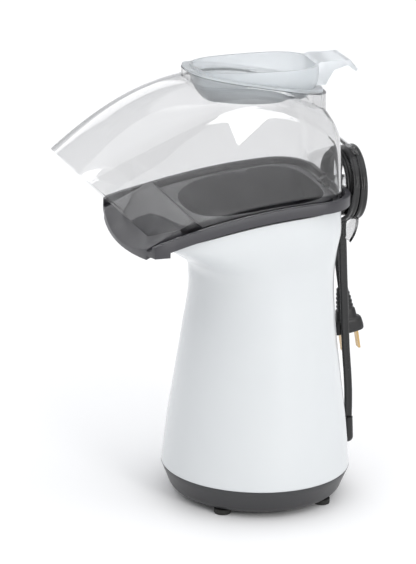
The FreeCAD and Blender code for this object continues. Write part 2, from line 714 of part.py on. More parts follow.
def make_fan():
    """Moulded axial fan: a hub with flat tilted blades."""
    label = "fan_impeller"
    body = new_body(label)
    base, height = size("fan_hub_base"), size("fan_hub_height")
    shaft, hub = size("shaft_radius"), size("fan_hub_radius")
    revolve(body, draw_outline(new_sketch(body, "outline"), [
        (shaft, base), (hub, base), (hub, base + height - 3), (hub - 3, base + height),
        (shaft, base + height)], {2: 3.0}))
    blade = new_sketch(body, "blade", "YZ_Plane", hub - 1.5)
    chord, thick = size("fan_blade_chord") * 0.5, size("fan_blade_thick") * 0.5
    lean, rise = math.cos(math.radians(BLADE_TILT)), math.sin(math.radians(BLADE_TILT))
    middle = base + height * 0.5
    corners = []
    for along, across in ((-1, -1), (1, -1), (1, 1), (-1, 1)):
        corners.append((chord * (along * lean) - thick * (across * rise),
                        middle + chord * (along * rise) + thick * (across * lean)))
    draw_outline(blade, corners)
    blade_pad = pad(body, blade, size("fan_radius") - hub + 1.5, "blade_pad")
    polar(body, [blade_pad], size("fan_blade_count"), "blades")
    keep(body, label)


def make_rectifier():
    """Round board on the motor's lower end, with four diodes under it."""
    base, thick = size("board_base"), size("board_thick")
    turned("rectifier_board", tube_outline(size("shaft_radius") + 1.4, size("board_radius"), base,
                                           base + thick))
    diodes = []
    for i, (sx, sy) in enumerate(((1, 1), (1, -1), (-1, 1), (-1, -1))):
        diodes.append(cylinder(f"diode_{i}", size("diode_radius"), size("diode_length"),
                               size("diode_length") * (-0.5) + 6.2 * sx, 5.0 * sy,
                               base - size("diode_radius"), TO_SIDE))
    keep(group("diode_set", diodes), "rectifier_diodes")


# ---------------------------------------------------------------------------------------------------
# Heater, duct and popping chamber
# ---------------------------------------------------------------------------------------------------
def make_heater():
    """Mica cross that carries the turns of the heating wire in its notches."""
    base, height, thick = size("mica_base"), size("mica_height"), size("mica_thick")
    width = size("mica_half_width") * 2
    cross = fuse("mica_cross", [box("mica_plate_x", width, thick, height, z=base),
                                box("mica_plate_y", thick, width, height, z=base)])
    count = int(number("heater_turns"))
    turns, notches = [], []
    for i in range(count):
        level = base + 5 + size("heater_pitch") * i
        for kind, extra, pieces in (("turn", 0.0, turns), ("notch", 0.25, notches)):
            ring = DOCUMENT.addObject("Part::Torus", f"heater_{kind}_{i}")
            bind(ring, Radius1=size("heater_radius"), Radius2=size("heater_wire") + extra,
                 Placement__Base__z=level)
            pieces.append(ring)
    keep(cut("mica_notched", cross, fuse("mica_notches", notches)), "heater_frame")
    keep(group("heater_wires", turns), "heater_coil")


def make_duct():
    """Steel sleeve that leads the hot air from the fan housing to the chamber's slots."""
    outside, wall = size("duct_radius"), size("duct_wall")
    low, high, chamber = size("duct_base"), size("duct_top"), size("chamber_radius")
    inside = outside - wall
    turned("air_duct", [(inside, low), (outside, low), (outside, high), (chamber + 0.3, high),
                        (chamber + 0.3, high - wall), (inside, high - wall)])


def make_chamber():
    """Aluminium popping chamber: domed floor, slots for the hot air, and a flange at its top."""
    label = "popping_chamber"
    body = new_body(label)
    outside, wall = size("chamber_radius"), size("chamber_wall")
    low, high, flange = size("chamber_base"), size("chamber_top"), size("chamber_flange")
    dome = size("chamber_dome")
    corners = [(0, low + dome), (outside - 12, low), (outside - 5, low), (outside, low + 5),
               (outside, high - wall), (flange, high - wall), (flange, high), (outside - wall, high),
               (outside - wall, low + 5), (outside - 5, low + wall), (outside - 12, low + wall),
               (0, low + dome + wall)]
    revolve(body, draw_outline(new_sketch(body, "outline"), corners, {2: 5.0, 8: -4.0}))
    DOCUMENT.recompute()
    slot = new_sketch(body, "louvre", "YZ_Plane", outside - 3)
    half, foot = size("louvre_width") * 0.5, size("louvre_base")
    draw_outline(slot, [(-half, foot), (half, foot), (half, foot + size("louvre_height")),
                        (-half, foot + size("louvre_height"))])
    polar(body, [pocket(body, slot, 6, "louvre_cut")], size("louvre_count"), "louvres")
    keep(body, label)


def make_chamber_fittings():
    """Silicone ring on the chamber flange, thermostat and thermal fuse on the duct."""
    top, thick = size("chamber_top"), size("gasket_thick")
    turned("chamber_gasket", tube_outline(size("well_foot_radius"), size("chamber_flange"), top,
                                          top + thick))
    depth = size("thermostat_depth")
    disc = cylinder("thermostat_disc", size("thermostat_radius"), depth, 0,
                    -(size("duct_radius") + depth), size("thermostat_height"), TO_BACK)
    keep(disc, "thermostat", 0, -(size("duct_radius") + depth), size("thermostat_height"))
    fuse_x = 14.0
    piece = cylinder("thermal_fuse_barrel", size("fuse_radius"), size("fuse_length"))
    keep(piece, "thermal_fuse", fuse_x, -(size("duct_radius") + 0.4), size("thermostat_height") - 7)


# ---------------------------------------------------------------------------------------------------
# Curved shells: housing, tray, hood and cup
# ---------------------------------------------------------------------------------------------------
def ring_curve(points):
    """A closed smooth wire through points."""
    curve = Part.BSplineCurve()
    curve.interpolate(Points=points, PeriodicFlag=True)
    return Part.Wire([curve.toShape()])


def round_section(height, half_width, front, back, front_power, back_power, steps=28):
    """A level outline: an oval whose front and back reach differ, and whose corners fill out as the
    powers rise from 2, a circle."""
    points = []
    for i in range(steps):
        angle = 2 * math.pi * (i + 0.5) / steps
        power = back_power if math.sin(angle) > 0 else front_power
        reach = back if math.sin(angle) > 0 else front
        x = half_width * math.copysign(abs(math.cos(angle)) ** (2 / power), math.cos(angle))
        y = reach * math.copysign(abs(math.sin(angle)) ** (2 / power), math.sin(angle))
        points.append(Vector(x, y, height))
    return ring_curve(points)


def loft(wires, straight=False):
    """A solid through wires, smooth or in straight stretches from each to the next."""
    return Part.makeLoft(wires, True, straight)


def arc_log(radius, half_width=130.0):
    """A solid log across the object: everything under the tray's side-view arc of that radius."""
    centre = Vector(-half_width, number("arc_behind"), -number("arc_below"))
    return Part.makeCylinder(radius, 2 * half_width, centre, Vector(1, 0, 0))


def plan_outline(half_width, front, back, corner, bulge=0.0):
    """Tray and hood seen from above: straight sides, two round back corners, and a front that may
    swell forwards by bulge."""
    right_front, left_front = Vector(half_width, -front, 0), Vector(-half_width, -front, 0)
    turn = corner * (1 - math.sqrt(0.5))
    edges = [
        Part.LineSegment(right_front, Vector(half_width, back - corner, 0)),
        Part.Arc(Vector(half_width, back - corner, 0), Vector(half_width - turn, back - turn, 0),
                 Vector(half_width - corner, back, 0)),
        Part.Arc(Vector(half_width - corner, back, 0), Vector(0, back + 0.5, 0),
                 Vector(corner - half_width, back, 0)),
        Part.Arc(Vector(corner - half_width, back, 0), Vector(turn - half_width, back - turn, 0),
                 Vector(-half_width, back - corner, 0)),
        Part.LineSegment(Vector(-half_width, back - corner, 0), left_front),
    ]
    if bulge:
        edges.append(Part.Arc(left_front, Vector(0, -front - bulge, 0), right_front))
    else:
        edges.append(Part.LineSegment(left_front, right_front))
    return Part.Wire([edge.toShape() for edge in edges])


def prism(wire, low, high):
    """The upright solid over a level outline, between two heights."""
    face = Part.Face(wire)
    face.translate(Vector(0, 0, low))
    return face.extrude(Vector(0, 0, high - low))


def shell_levels(inset):
    """The housing's level outlines, moved inwards by inset."""
    waist, belly = number("waist_radius"), number("belly_radius")
    wide, front, back = number("shell_half_width"), number("shell_front"), number("shell_back")
    seam, seam_radius = number("seam_height"), number("seam_radius")
    waist_height, belly_height = number("waist_height"), number("belly_height")
    levels = [    # height, half width, front, back, front power, back power
        (seam, seam_radius, seam_radius, seam_radius, 2.0, 2.0),
        (0.5 * (seam + belly_height), 0.5 * (seam_radius + belly) + 0.4,
         0.5 * (seam_radius + belly) + 0.4, 0.5 * (seam_radius + belly) + 0.4, 2.0, 2.0),
        (belly_height, belly, belly, belly, 2.0, 2.0),
        (0.5 * (belly_height + waist_height), 0.5 * (belly + waist) - 0.7,
         0.5 * (belly + waist) - 0.9, 0.5 * (belly + waist) - 0.5, 2.0, 2.0),
        (waist_height, waist, waist - 1.2, waist + 0.8, 2.0, 2.0),
        (waist_height + 13, waist + 0.4, waist - 0.9, waist + 0.6, 2.1, 2.05),
        (waist_height + 21, waist + 1.2, waist + 2.6, waist + 0.6, 2.3, 2.15),
        (waist_height + 31, 0.5 * (waist + wide), 0.5 * (waist + front) - 2, waist + 0.6, 2.9, 2.3),
        (waist_height + 39, wide - 1.6, 0.5 * (waist + front) + 9, waist + 0.6, 3.8, 2.5),
        (waist_height + 46, wide - 0.6, front - 0.6, waist + 0.4, 5.0, 2.7),
        (waist_height + 56, wide, front, back, 6.0, 2.8),
        (waist_height + 84, wide, front, back, 6.0, 2.8),
    ]
    return loft([round_section(z, w - inset, f - inset * (1.35 if z > waist_height + 15 else 1.0),
                               b - inset, p, q) for z, w, f, b, p, q in levels], straight=True)


def post_notch():
    """The slot, open upwards, that lets the hood's post down through the backs of tray and housing."""
    radius, level = number("post_radius") + number("post_gap"), number("post_height")
    near = number("tray_back") - number("rim_width") - number("channel_width") + 0.2
    bottom = Part.makeCylinder(radius, 40.0, Vector(0, near, level), Vector(0, 1, 0))
    return bottom.fuse(Part.makeBox(2 * radius, 40.0, 40.0, Vector(-radius, near, level)))


def make_housing():
    """White shell: round below, sweeping forwards under the chute above the waist, with the screw
    bosses inside and the small standoffs that carry the tray on its top edge."""
    wall = number("wall")
    seam, lip = number("seam_height"), number("lip_height")
    outside = shell_levels(0.0)
    inside = shell_levels(wall)
    under_tray = arc_log(number("shell_arc"))
    shell = outside.common(under_tray)
    bosses = []
    for circle, low, high, reach in ((number("base_screw_circle"), seam + lip, seam + lip + 22, 69.0),
                                     (number("fan_screw_circle"), 60.0, number("fan_flange_height"),
                                      64.6)):
        for degrees in THREE_WAYS:
            boss = Part.makeCylinder(number("boss_radius"), high - low, Vector(circle, 0, low))
            rib = Part.makeBox(reach - circle, 3.0, high - low, Vector(circle, -1.5, low))
            pilot = Part.makeCylinder(number("screw_radius"), high - low, Vector(circle, 0, low))
            solid = boss.fuse(rib).cut(pilot)
            solid.rotate(Vector(0, 0, 0), Vector(0, 0, 1), degrees)
            bosses.append(solid)
    stand = []
    for side in (-1, 1):
        for along in (-38.0, 6.0):
            x = side * (number("shell_half_width") - 1.4) - 1.0
            stand.append(Part.makeBox(2.0, 3.0, 60.0, Vector(x, along - 1.5, 200.0)))
    standoffs = stand[0].multiFuse(stand[1:]).common(arc_log(number("skirt_arc")))
    standoffs = standoffs.cut(arc_log(number("shell_arc") - 1.5))
    shell = shell.cut(inside).multiFuse(bosses + [standoffs])
    gland = Part.makeCylinder(number("gland_radius"), 30.0, Vector(0, 50, number("gland_height")),
                              Vector(0, 1, 0))
    shaped("outer_housing", shell.cut(gland).cut(post_notch()).removeSplitter())


def well_section(height, half_width, front, back, power):
    return round_section(height, half_width, front, back, power, power)


def make_tray():
    """Dark tray: an arched plate with a rim and a channel for the hood, a well that funnels down to the
    chamber, and a chute whose lip sags and swells at its middle."""
    wide, front, back = number("tray_half_width"), number("tray_front"), number("tray_back")
    corner, wall = number("tray_corner"), number("tray_wall")
    rim, channel = number("rim_width"), number("channel_width")
    bulge = number("lip_reach") - front
    outline = plan_outline(wide, front, back, corner, bulge)
    whole = prism(outline, 190, 260)
    plate = whole.common(arc_log(number("rim_arc"))).cut(arc_log(number("skirt_arc")))
    inner = rim + channel
    channel_outer = prism(plan_outline(wide - rim, front + 20, back - rim, corner - rim), 190, 260)
    channel_inner = prism(plan_outline(wide - inner, front + 30, back - inner, corner - inner), 190, 260)
    plate = plate.cut(channel_outer.cut(channel_inner).cut(arc_log(number("ledge_arc"))))
    plate = plate.cut(channel_inner.cut(arc_log(number("inner_arc"))))
    # well: the opening in the plate narrows to a round foot that sits on the chamber's gasket
    foot, foot_radius = number("well_foot"), number("well_foot_radius")
    well_front, well_back = number("well_front"), back - inner - wall
    well_wide = wide - inner - wall
    levels = ((268, well_wide + 0.6, well_front + 3, well_back + 0.5, 3.4),
              (242, well_wide, well_front, well_back, 3.2),
              (226, 0.5 * (well_wide + foot_radius) + 0.5, 0.5 * (well_front + foot_radius) + 2,
               0.5 * (well_back + foot_radius) - 0.5, 2.5),
              (foot, foot_radius, foot_radius, foot_radius - 0.5, 2.0))
    funnel_outer = loft([well_section(z, w + wall, f + wall, b + wall, p) for z, w, f, b, p in levels])
    funnel_inner = loft([well_section(z, w, f, b, p) for z, w, f, b, p in levels])
    funnel = funnel_outer.common(arc_log(number("inner_arc")))
    # chute: a slope from its ridge to the lip, hollowed a little towards the front
    half = number("chute_half_width")
    ridge, ridge_z = number("ridge_front"), number("ridge_height")
    mouth, mouth_z = number("chute_mouth"), number("chute_mouth_height")
    reach, lip_z, sag = number("lip_reach") + 1, number("lip_height_side"), number("lip_sag")
    stations = ((-ridge + 6, ridge_z - 4.5, 0.2), (-ridge, ridge_z, 0.4), (-mouth, mouth_z, 0.45 * sag),
                (-reach, lip_z, sag))
    wires = []
    for y, z, dip in stations:
        left, right = Vector(-half, y, z), Vector(half, y, z)
        under = Vector(0, 0, -wall - sag)
        top = Part.Arc(left, Vector(0, y, z - dip), right).toShape()
        wires.append(Part.Wire([top, Part.LineSegment(right, right + under).toShape(),
                                Part.LineSegment(right + under, left + under).toShape(),
                                Part.LineSegment(left + under, left).toShape()]))
    slope = Part.makeLoft(wires, True, True).common(prism(outline, 190, 260))
    opening = Part.makeBox(2 * half, reach, 80, Vector(-half, -reach - ridge + 6 - 1, 200))
    blocks = []
    for side in (-1, 1):
        block_x = wide - rim if side > 0 else -wide
        blocks.append(Part.makeBox(rim, number("front_block"), 8,
                                   Vector(block_x, -front, number("front_block_base"))))
    body = plate.cut(post_notch()).cut(opening).multiFuse([funnel, slope] + blocks)
    body = body.cut(funnel_inner)
    shaped("chute_tray", body.removeSplitter())


def hood_vault(inset):
    """The hood's tunnel: arches across the object whose roof and walls follow the hood's side view."""
    wall_foot = 196.0
    stations = [    # y, half width at the foot, half width at the crease, crease height, roof height
        (-176, 58.0, 47.0, 214.0, 268.5), (-160, 58.0, 47.5, 231.0, 282.5), (-136, 58.0, 48.5, 256.0, 300.5),
        (-115, 58.2, 49.0, 277.5, 313.8), (-97, 58.6, 49.3, 293.0, 322.8), (-75, 59.2, 49.5, 309.0, 329.6),
        (-50, 59.6, 49.5, 319.0, 332.0), (-20, 59.8, 49.0, 323.0, 331.0), (9, 59.8, 48.5, 316.5, 325.0),
        (35, 59.6, 48.0, 300.0, 312.0), (62, 59.2, 47.0, 270.0, 286.0)]
    wires = []
    for y, foot, crease, crease_z, roof_z in stations:
        foot, crease, crease_z, roof_z = foot - inset, crease - inset, crease_z - inset * 0.6, roof_z - inset
        base = wall_foot - inset
        a, b, c, d = (Vector(foot, y, base), Vector(crease, y, crease_z), Vector(-crease, y, crease_z),
                      Vector(-foot, y, base))
        arch = Part.Arc(b, Vector(0, y, roof_z), c).toShape()
        wires.append(Part.Wire([Part.LineSegment(a, b).toShape(), arch, Part.LineSegment(c, d).toShape(),
                                Part.LineSegment(d, a).toShape()]))
    return loft(wires)


def hood_plan(inset):
    """The hood's plan: straight sides and round back corners, narrower towards the top at the back."""
    wires = []
    for z, extra, back in ((190, 1.0, number("hood_back") + 1), (240, 0.6, number("hood_back")),
                           (290, 0.4, number("hood_back") - 3.5), (345, 0.2, number("hood_back") - 11)):
        wire = plan_outline(number("hood_half_width") + extra - inset, 180, back - inset,
                            number("hood_corner") - inset)
        wire.translate(Vector(0, 0, z))
        wires.append(wire)
    return loft(wires)


def neck_section(height, inset, spread=0.0):
    """A level outline of the neck: an oblong, round at both ends and a little narrower in front."""
    front, back = number("neck_front") - inset + spread, number("neck_back") - inset + spread
    small, large = number("neck_half_front") - inset + spread, number("neck_half_back") - inset + spread
    return oblong(height, front, back, small, large)


def oblong(height, front, back, half_front, half_back, steps=14):
    """A closed level outline whose half width grows from front to back and whose ends are round."""
    middle, half_length = 0.5 * (back - front), 0.5 * (back + front)
    points = []
    for i in range(2 * steps):
        angle = math.pi * (i + 0.5) / steps
        along = math.copysign(abs(math.sin(angle)) ** (2 / 3.0), math.sin(angle))
        across = math.copysign(abs(math.cos(angle)) ** (2 / 3.0), math.cos(angle))
        half = half_front + (half_back - half_front) * 0.5 * (1 + along)
        points.append(Vector(across * half, middle + along * half_length, height))
    return ring_curve(points)


def mouth_wedge(depth=200.0):
    """Everything in front of the mouth, whose edge rises forwards from its foot to the roof's tip."""
    foot = Vector(-90, -number("mouth_foot"), number("mouth_foot_height"))
    tip = Vector(-90, -number("mouth_tip"), number("mouth_tip_height"))
    way = (tip - foot).normalize()
    below, above = foot - way * 60, tip + way * 40
    front = Vector(0, -depth, 0)
    wire = Part.makePolygon([below, above, above + front, below + front, below])
    return Part.Face(wire).extrude(Vector(180, 0, 0))


def above_neck(gap=0.0):
    """Everything more than gap above the neck's sloping rim."""
    front, back = -number("neck_front"), number("neck_back")
    high, low = number("neck_front_height"), number("neck_back_height")
    slope = (low - high) / (back - front)
    start, end = front - 30, back + 60
    high = high + gap
    points = [Vector(-90, start, high + slope * (start - front)), Vector(-90, end, high + slope * (end - front)),
              Vector(-90, end, 420), Vector(-90, start, 420)]
    return Part.Face(Part.makePolygon(points + points[:1])).extrude(Vector(180, 0, 0))


def make_hook():
    """Cord hook: a hollow post on the hood's back and a plate whose two horns lean back to the hood."""
    back, thick = number("hook_back"), number("hook_thick")
    centre = number("post_height")
    post = Part.makeCylinder(number("post_radius"), back - 46.0, Vector(0, 46.0, centre), Vector(0, 1, 0))
    bore = Part.makeCylinder(number("post_radius") - 2.0, back - 46.0 - thick, Vector(0, 46.0, centre),
                             Vector(0, 1, 0))
    top, foot = number("hook_top"), number("hook_foot")
    outer = [Vector(0, back - 13, top), Vector(0, back - 3.5, top - 7), Vector(0, back, top - 20),
             Vector(0, back, foot + 18), Vector(0, back - 2, foot + 7), Vector(0, back - 6, foot)]
    inner = [Vector(0, back - 7.5, foot + 1.5), Vector(0, back - thick - 1.5, foot + 8),
             Vector(0, back - thick, foot + 18), Vector(0, back - thick, top - 20),
             Vector(0, back - thick - 3.2, top - 9), Vector(0, back - 13, top - thick)]
    edges = [Part.Arc(*outer[0:3]), Part.LineSegment(outer[2], outer[3]), Part.Arc(*outer[3:6]),
             Part.LineSegment(outer[5], inner[0]), Part.Arc(*inner[0:3]),
             Part.LineSegment(inner[2], inner[3]), Part.Arc(*inner[3:6]),
             Part.LineSegment(inner[5], outer[0])]
    half = number("hook_half_width")
    face = Part.Face(Part.Wire([edge.toShape() for edge in edges]))
    face.translate(Vector(-half, 0, 0))
    plate = face.extrude(Vector(2 * half, 0, 0))
    return post.cut(bore).fuse(plate)


def make_hood():
    """Clear hood: a vaulted tunnel closed at the back by round corners, with a neck on its roof for the
    cup and the cord hook behind."""
    wall = number("hood_wall")
    wedge, above = mouth_wedge(), above_neck()
    outer = hood_vault(0.0).common(hood_plan(0.0))
    inner = hood_vault(wall).common(hood_plan(wall))
    neck_outer = loft([neck_section(300, 0.0, 4.0), neck_section(322, 0.0, 1.5), neck_section(329, 0.0),
                       neck_section(350, 0.0)])
    neck_inner = loft([neck_section(290, wall, 3.5), neck_section(322, wall, 1.0), neck_section(329, wall),
                       neck_section(350, wall)])
    low_part = arc_log(number("ledge_arc") + 0.4)
    rear_keep = Part.makeBox(200, 200, 400, Vector(-100, -120, 0))
    neck_outer = neck_outer.common(rear_keep)
    shell = outer.fuse(neck_outer.common(hood_plan(0.0)))
    hollow = inner.fuse(neck_inner)
    shell = shell.fuse(make_hook()).cut(hollow).cut(above).cut(wedge).cut(low_part)
    solids = sorted(shell.Solids, key=lambda s: -s.Volume)
    shaped("clear_cover", solids[0].removeSplitter())


def make_cup():
    """Translucent measuring cup that hangs in the neck by the ledge round it, with a handle behind."""
    wall, gap = number("cup_wall"), number("cup_gap")
    rim, foot = number("cup_rim_height"), number("cup_foot_height")
    front, back = number("cup_front"), number("cup_back")
    small, large = number("cup_half_front"), number("cup_half_back")
    overhang = 0.6      # the ledge stops this far inside the neck's outer face
    neck_front, neck_back = number("neck_front") - overhang, number("neck_back") - overhang
    neck_small, neck_large = number("neck_half_front") - overhang, number("neck_half_back") - overhang

    def level(height, front, back, small, large, less):
        return oblong(height, front - less, back - less, small - less, large - less)

    plate = loft([level(300, neck_front, neck_back, neck_small, neck_large, 0.0),
                  level(350, neck_front, neck_back, neck_small, neck_large, 0.0)])
    ledge = plate.common(above_neck(gap)).cut(above_neck(gap + wall))
    ledge = ledge.common(Part.makeBox(200, 300, rim, Vector(-100, -150, 0)))
    hanging = loft([level(foot, front - 9, back - 7, small - 5, large - 6, 0.0),
                    level(322, front - 3.2, back - 1.2, small - 1.2, large - 2.2, 0.0),
                    level(rim, front, back, small, large, 0.0)])
    hollow = loft([level(foot + wall, front - 9, back - 7, small - 5, large - 6, wall),
                   level(322, front - 3.2, back - 1.2, small - 1.2, large - 2.2, wall),
                   level(rim + 0.01, front, back, small, large, wall)])
    half, end = number("handle_half_width"), number("handle_back")
    top, thick = number("handle_top"), number("handle_thick")
    side = [Vector(-half, back - 3, rim), Vector(-half, back, top), Vector(-half, end - 6, top),
            Vector(-half, end, top - 7), Vector(-half, end - 1, top - 9), Vector(-half, end - 8, top - thick - 1),
            Vector(-half, back + 11, top - thick - 4), Vector(-half, back + 6.5, 326.5),
            Vector(-half, back + 4.5, 322.5), Vector(-half, back - 3, 322.5)]
    handle = Part.Face(Part.makePolygon(side + side[:1])).extrude(Vector(2 * half, 0, 0))
    handle = handle.common(above_neck(gap))
    solid = hanging.multiFuse([ledge, handle]).cut(hollow)
    shaped("measuring_cup", solid.removeSplitter())


# ---------------------------------------------------------------------------------------------------
# Cord, gland and plug
# ---------------------------------------------------------------------------------------------------
def rounded_path(points):
    """Straight runs joined by tangent arcs: each arc has 0.45 of its shorter run, over the tangent of
    half its turn, as its radius."""
    edges, radii = [], []
    cursor = points[0]
    for before, corner, after in zip(points, points[1:], points[2:]):
        into, out = (corner - before), (after - corner)
        half_turn = into.getAngle(out) / 2
        trim = 0.45 * min(into.Length, out.Length)
        radii.append(trim / math.tan(half_turn))
        into, out = into.normalize(), out.normalize()
        start, finish = corner - into * trim, corner + out * trim
        middle_way = (out - into).normalize()
        centre = corner + middle_way * (radii[-1] / math.cos(half_turn))
        middle = centre - middle_way * radii[-1]
        if (start - cursor).Length > 1e-6:
            edges.append(Part.LineSegment(cursor, start).toShape())
        edges.append(Part.Arc(start, middle, finish).toShape())
        cursor = finish
    edges.append(Part.LineSegment(cursor, points[-1]).toShape())
    return Part.Wire(edges), radii


LEAD_ROUTE = (    # x, y behind the axis, z: up the back of the housing to the coil
    (0.0, 75.0, 52.0), (0.0, 75.0, 66.0), (1.8, 73.1, 85.0), (3.8, 69.9, 108.0), (4.5, 68.2, 128.0),
    (4.4, 66.9, 150.0), (4.0, 65.4, 172.0), (3.9, 64.4, 192.0), (3.2, 62.8, 211.7))
TAIL_ROUTE = (    # down from the coil to the plug
    (-8.5, 62.6, 211.7), (-8.9, 64.1, 197.0), (-7.8, 65.3, 182.0), (-7.0, 67.0, 167.0),
    (-7.0, 69.1, 155.0))


def make_cord_tube(label, route):
    points = [Vector(*point) for point in route]
    path, radii = rounded_path(points)
    radius = number("cord_width") / 2
    way = (points[1] - points[0]).normalize()
    ring = Part.Wire([Part.Circle(points[0], way, radius).toShape()])
    tube = path.makePipeShell([ring], True, False)
    shaped(label, tube)
    share = tube.Volume / (math.pi * radius ** 2 * path.Length)
    print(f"{label}: {path.Length:.0f} mm, volume share {share:.4f}, radii",
          ", ".join(f"{r:.0f}" for r in radii))


def make_cord():
    """Gland in the housing wall, lead, coil on the hook, tail, and the plug with its blades."""
    height, radius, back = size("gland_height"), size("gland_radius"), size("gland_back")
    top = size("gland_top")
    stub = cylinder("gland_stub", radius, back - 64, 0, 64, height, TO_BACK)
    nut = cylinder("gland_collar", radius + 1.8, 3, 0, 64, height, TO_BACK)
    ball = DOCUMENT.addObject("Part::Sphere", "gland_elbow")
    bind(ball, Radius=radius, Placement__Base__y=back, Placement__Base__z=height)
    sleeve = cone("gland_sleeve", radius, size("cord_width") * 0.5 + 0.5, top - height, 0, back, height)
    keep(fuse("gland_solid", [stub, nut, ball, sleeve]), "cord_gland")
    make_cord_tube("cord_lead", LEAD_ROUTE)

    hole, outside, deep = size("coil_hole"), size("coil_radius"), size("coil_back") - size("coil_front")
    near, far = size("coil_round_front"), size("coil_round_back")
    coil = turned("cord_coil", [
        (hole, 0), (outside - near, 0), (outside, near), (outside, deep - far), (outside - far, deep),
        (hole, deep)], {1: near, 3: far}, y=size("coil_front"), z=size("coil_height"))
    coil.Placement.Rotation = TO_BACK
    make_cord_tube("cord_tail", TAIL_ROUTE)

    plug = new_body("plug_body")
    wide, neck, length = size("plug_width") * 0.5, size("plug_neck") * 0.5, size("plug_length")
    outline = new_sketch(plug, "outline", "YZ_Plane")
    draw_outline(outline, [
        (-wide, 1.5), (-wide + 1.5, 0), (wide - 1.5, 0), (wide, 1.5), (wide - 1, 11), (wide - 4, 11),
        (wide - 4.5, 19), (wide - 6, 19), (neck, length), (-neck, length), (6 - wide, 19),
        (4.5 - wide, 19), (4 - wide, 11), (1 - wide, 11)])
    pad(plug, outline, size("plug_thick"), midplane=True)
    blades = [box(f"blade_{i}", size("blade_width"), size("blade_thick"), size("blade_length"),
                  y=size("blade_spacing") * (0.5 * side), z=-size("blade_length"))
              for i, side in enumerate((1, -1))]
    pair = group("blade_pair", blades)
    for piece, label in ((plug, "plug_body"), (pair, "plug_blades")):
        piece.Placement.Rotation = Rotation(Vector(1, 0, 0), PLUG_LEAN)
        keep(piece, label, size("plug_across"), size("plug_back"), size("plug_face"))


PLUG_LEAN = 10      # degrees that the hanging plug's face leans away from the housing


# ---------------------------------------------------------------------------------------------------
# Wiring
# ---------------------------------------------------------------------------------------------------
def make_connectors():
    """Two crimped caps that join the cord to the inner leads."""
    caps = [cone(f"connector_{i}", 3.6, 2.6, 14, 9.0 * side, 56, 34) for i, side in enumerate((1, -1))]
    keep(group("connector_pair", caps), "wire_connectors")


# ---------------------------------------------------------------------------------------------------
# Build, check and write
# ---------------------------------------------------------------------------------------------------
def build():
    make_base_cover()
    make_feet()
    make_screws("base_screws", "base_screw_circle", THREE_WAYS,
                size("foot_height") + size("counterbore_depth") - size("screw_head_height"),
                size("base_screw_length"))
    make_housing()
    make_fan_housing()
    make_screws("fan_housing_screws", "fan_screw_circle", THREE_WAYS,
                size("fan_flange_height") + size("fan_floor_thick"), size("fan_screw_length"),
                head_down=False)
    make_motor_bracket()
    make_screws("bracket_screws", "bracket_screw_circle", THREE_WAYS,
                size("motor_top") - size("small_head_height"), 5.0, small=True)
    make_screws("motor_screws", "motor_screw_circle", MOTOR_SCREW_WAYS, size("fan_floor_height"), 4.0,
                small=True, head_down=False)
    make_motor()
    make_rotor()
    make_rectifier()
    make_heater()
    make_duct()
    make_chamber()
    make_chamber_fittings()
    make_tray()
    make_hood()
    make_cup()
    make_connectors()
    make_cord()


def check():
    """Stops if any object failed or any piece is empty or broken."""
    DOCUMENT.recompute()
    for thing in DOCUMENT.Objects:
        if "Invalid" in thing.State or "Error" in thing.State:
            raise RuntimeError(f"{thing.Label} is in state {thing.State}")
    for piece in PIECES:
        if piece.Shape.isNull() or not piece.Shape.isValid():
            raise RuntimeError(f"{piece.Label} has no valid shape")


def export():
    os.makedirs("parts", exist_ok=True)
    for piece in PIECES:
        piece.Shape.exportStep(f"parts/{piece.Label}.step")
        extent = piece.Shape.BoundBox
        print(f"{piece.Label}: {len(piece.Shape.Solids)} solids, {piece.Shape.Volume / 1000:.2f} cm3, "
              f"x {extent.XMin:.1f}..{extent.XMax:.1f}, y {extent.YMin:.1f}..{extent.YMax:.1f}, "
              f"z {extent.ZMin:.1f}..{extent.ZMax:.1f}")


build()
check()
export()
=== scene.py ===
"""Hot-air popcorn maker: the looks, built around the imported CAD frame.

Metres, +Z up. The chute faces -Y and the cord hook +Y; the feet stand on z = 0. Pieces whose CAD shape
is right keep it, smoothed and softly rounded at their edges. The white shell, the clear hood, the cord,
the plug, the screws and the heating wire are modelled here.
"""
import cmath
import logging
import math
from dataclasses import dataclass
from enum import Enum

import bmesh
import bpy
import numpy as np
from mathutils import Matrix, Vector


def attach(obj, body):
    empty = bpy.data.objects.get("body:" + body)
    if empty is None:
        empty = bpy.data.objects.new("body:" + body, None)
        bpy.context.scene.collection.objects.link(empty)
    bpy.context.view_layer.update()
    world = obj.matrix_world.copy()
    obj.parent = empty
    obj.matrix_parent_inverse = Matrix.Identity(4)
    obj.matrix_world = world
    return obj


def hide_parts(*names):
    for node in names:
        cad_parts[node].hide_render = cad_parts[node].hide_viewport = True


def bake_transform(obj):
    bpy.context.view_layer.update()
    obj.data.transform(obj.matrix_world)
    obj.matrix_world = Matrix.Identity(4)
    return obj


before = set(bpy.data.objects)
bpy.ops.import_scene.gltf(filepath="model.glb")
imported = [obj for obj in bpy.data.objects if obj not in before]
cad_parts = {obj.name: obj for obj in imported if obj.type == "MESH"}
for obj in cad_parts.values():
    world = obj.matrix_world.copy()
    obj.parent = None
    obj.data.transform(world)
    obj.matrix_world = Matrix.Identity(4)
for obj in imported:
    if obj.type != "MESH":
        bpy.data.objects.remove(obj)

LOG = logging.getLogger("popcorn_maker")
MM = 0.001
MERGE_GAP = 1e-6           # vertices closer than this are one, in metres
WIRE_SIDES = 5             # sides of the heating wire's section, which is too fine to show round
WAVE_RADIANS = 20.0        # a wave texture of scale 1 turns through this many radians in a metre


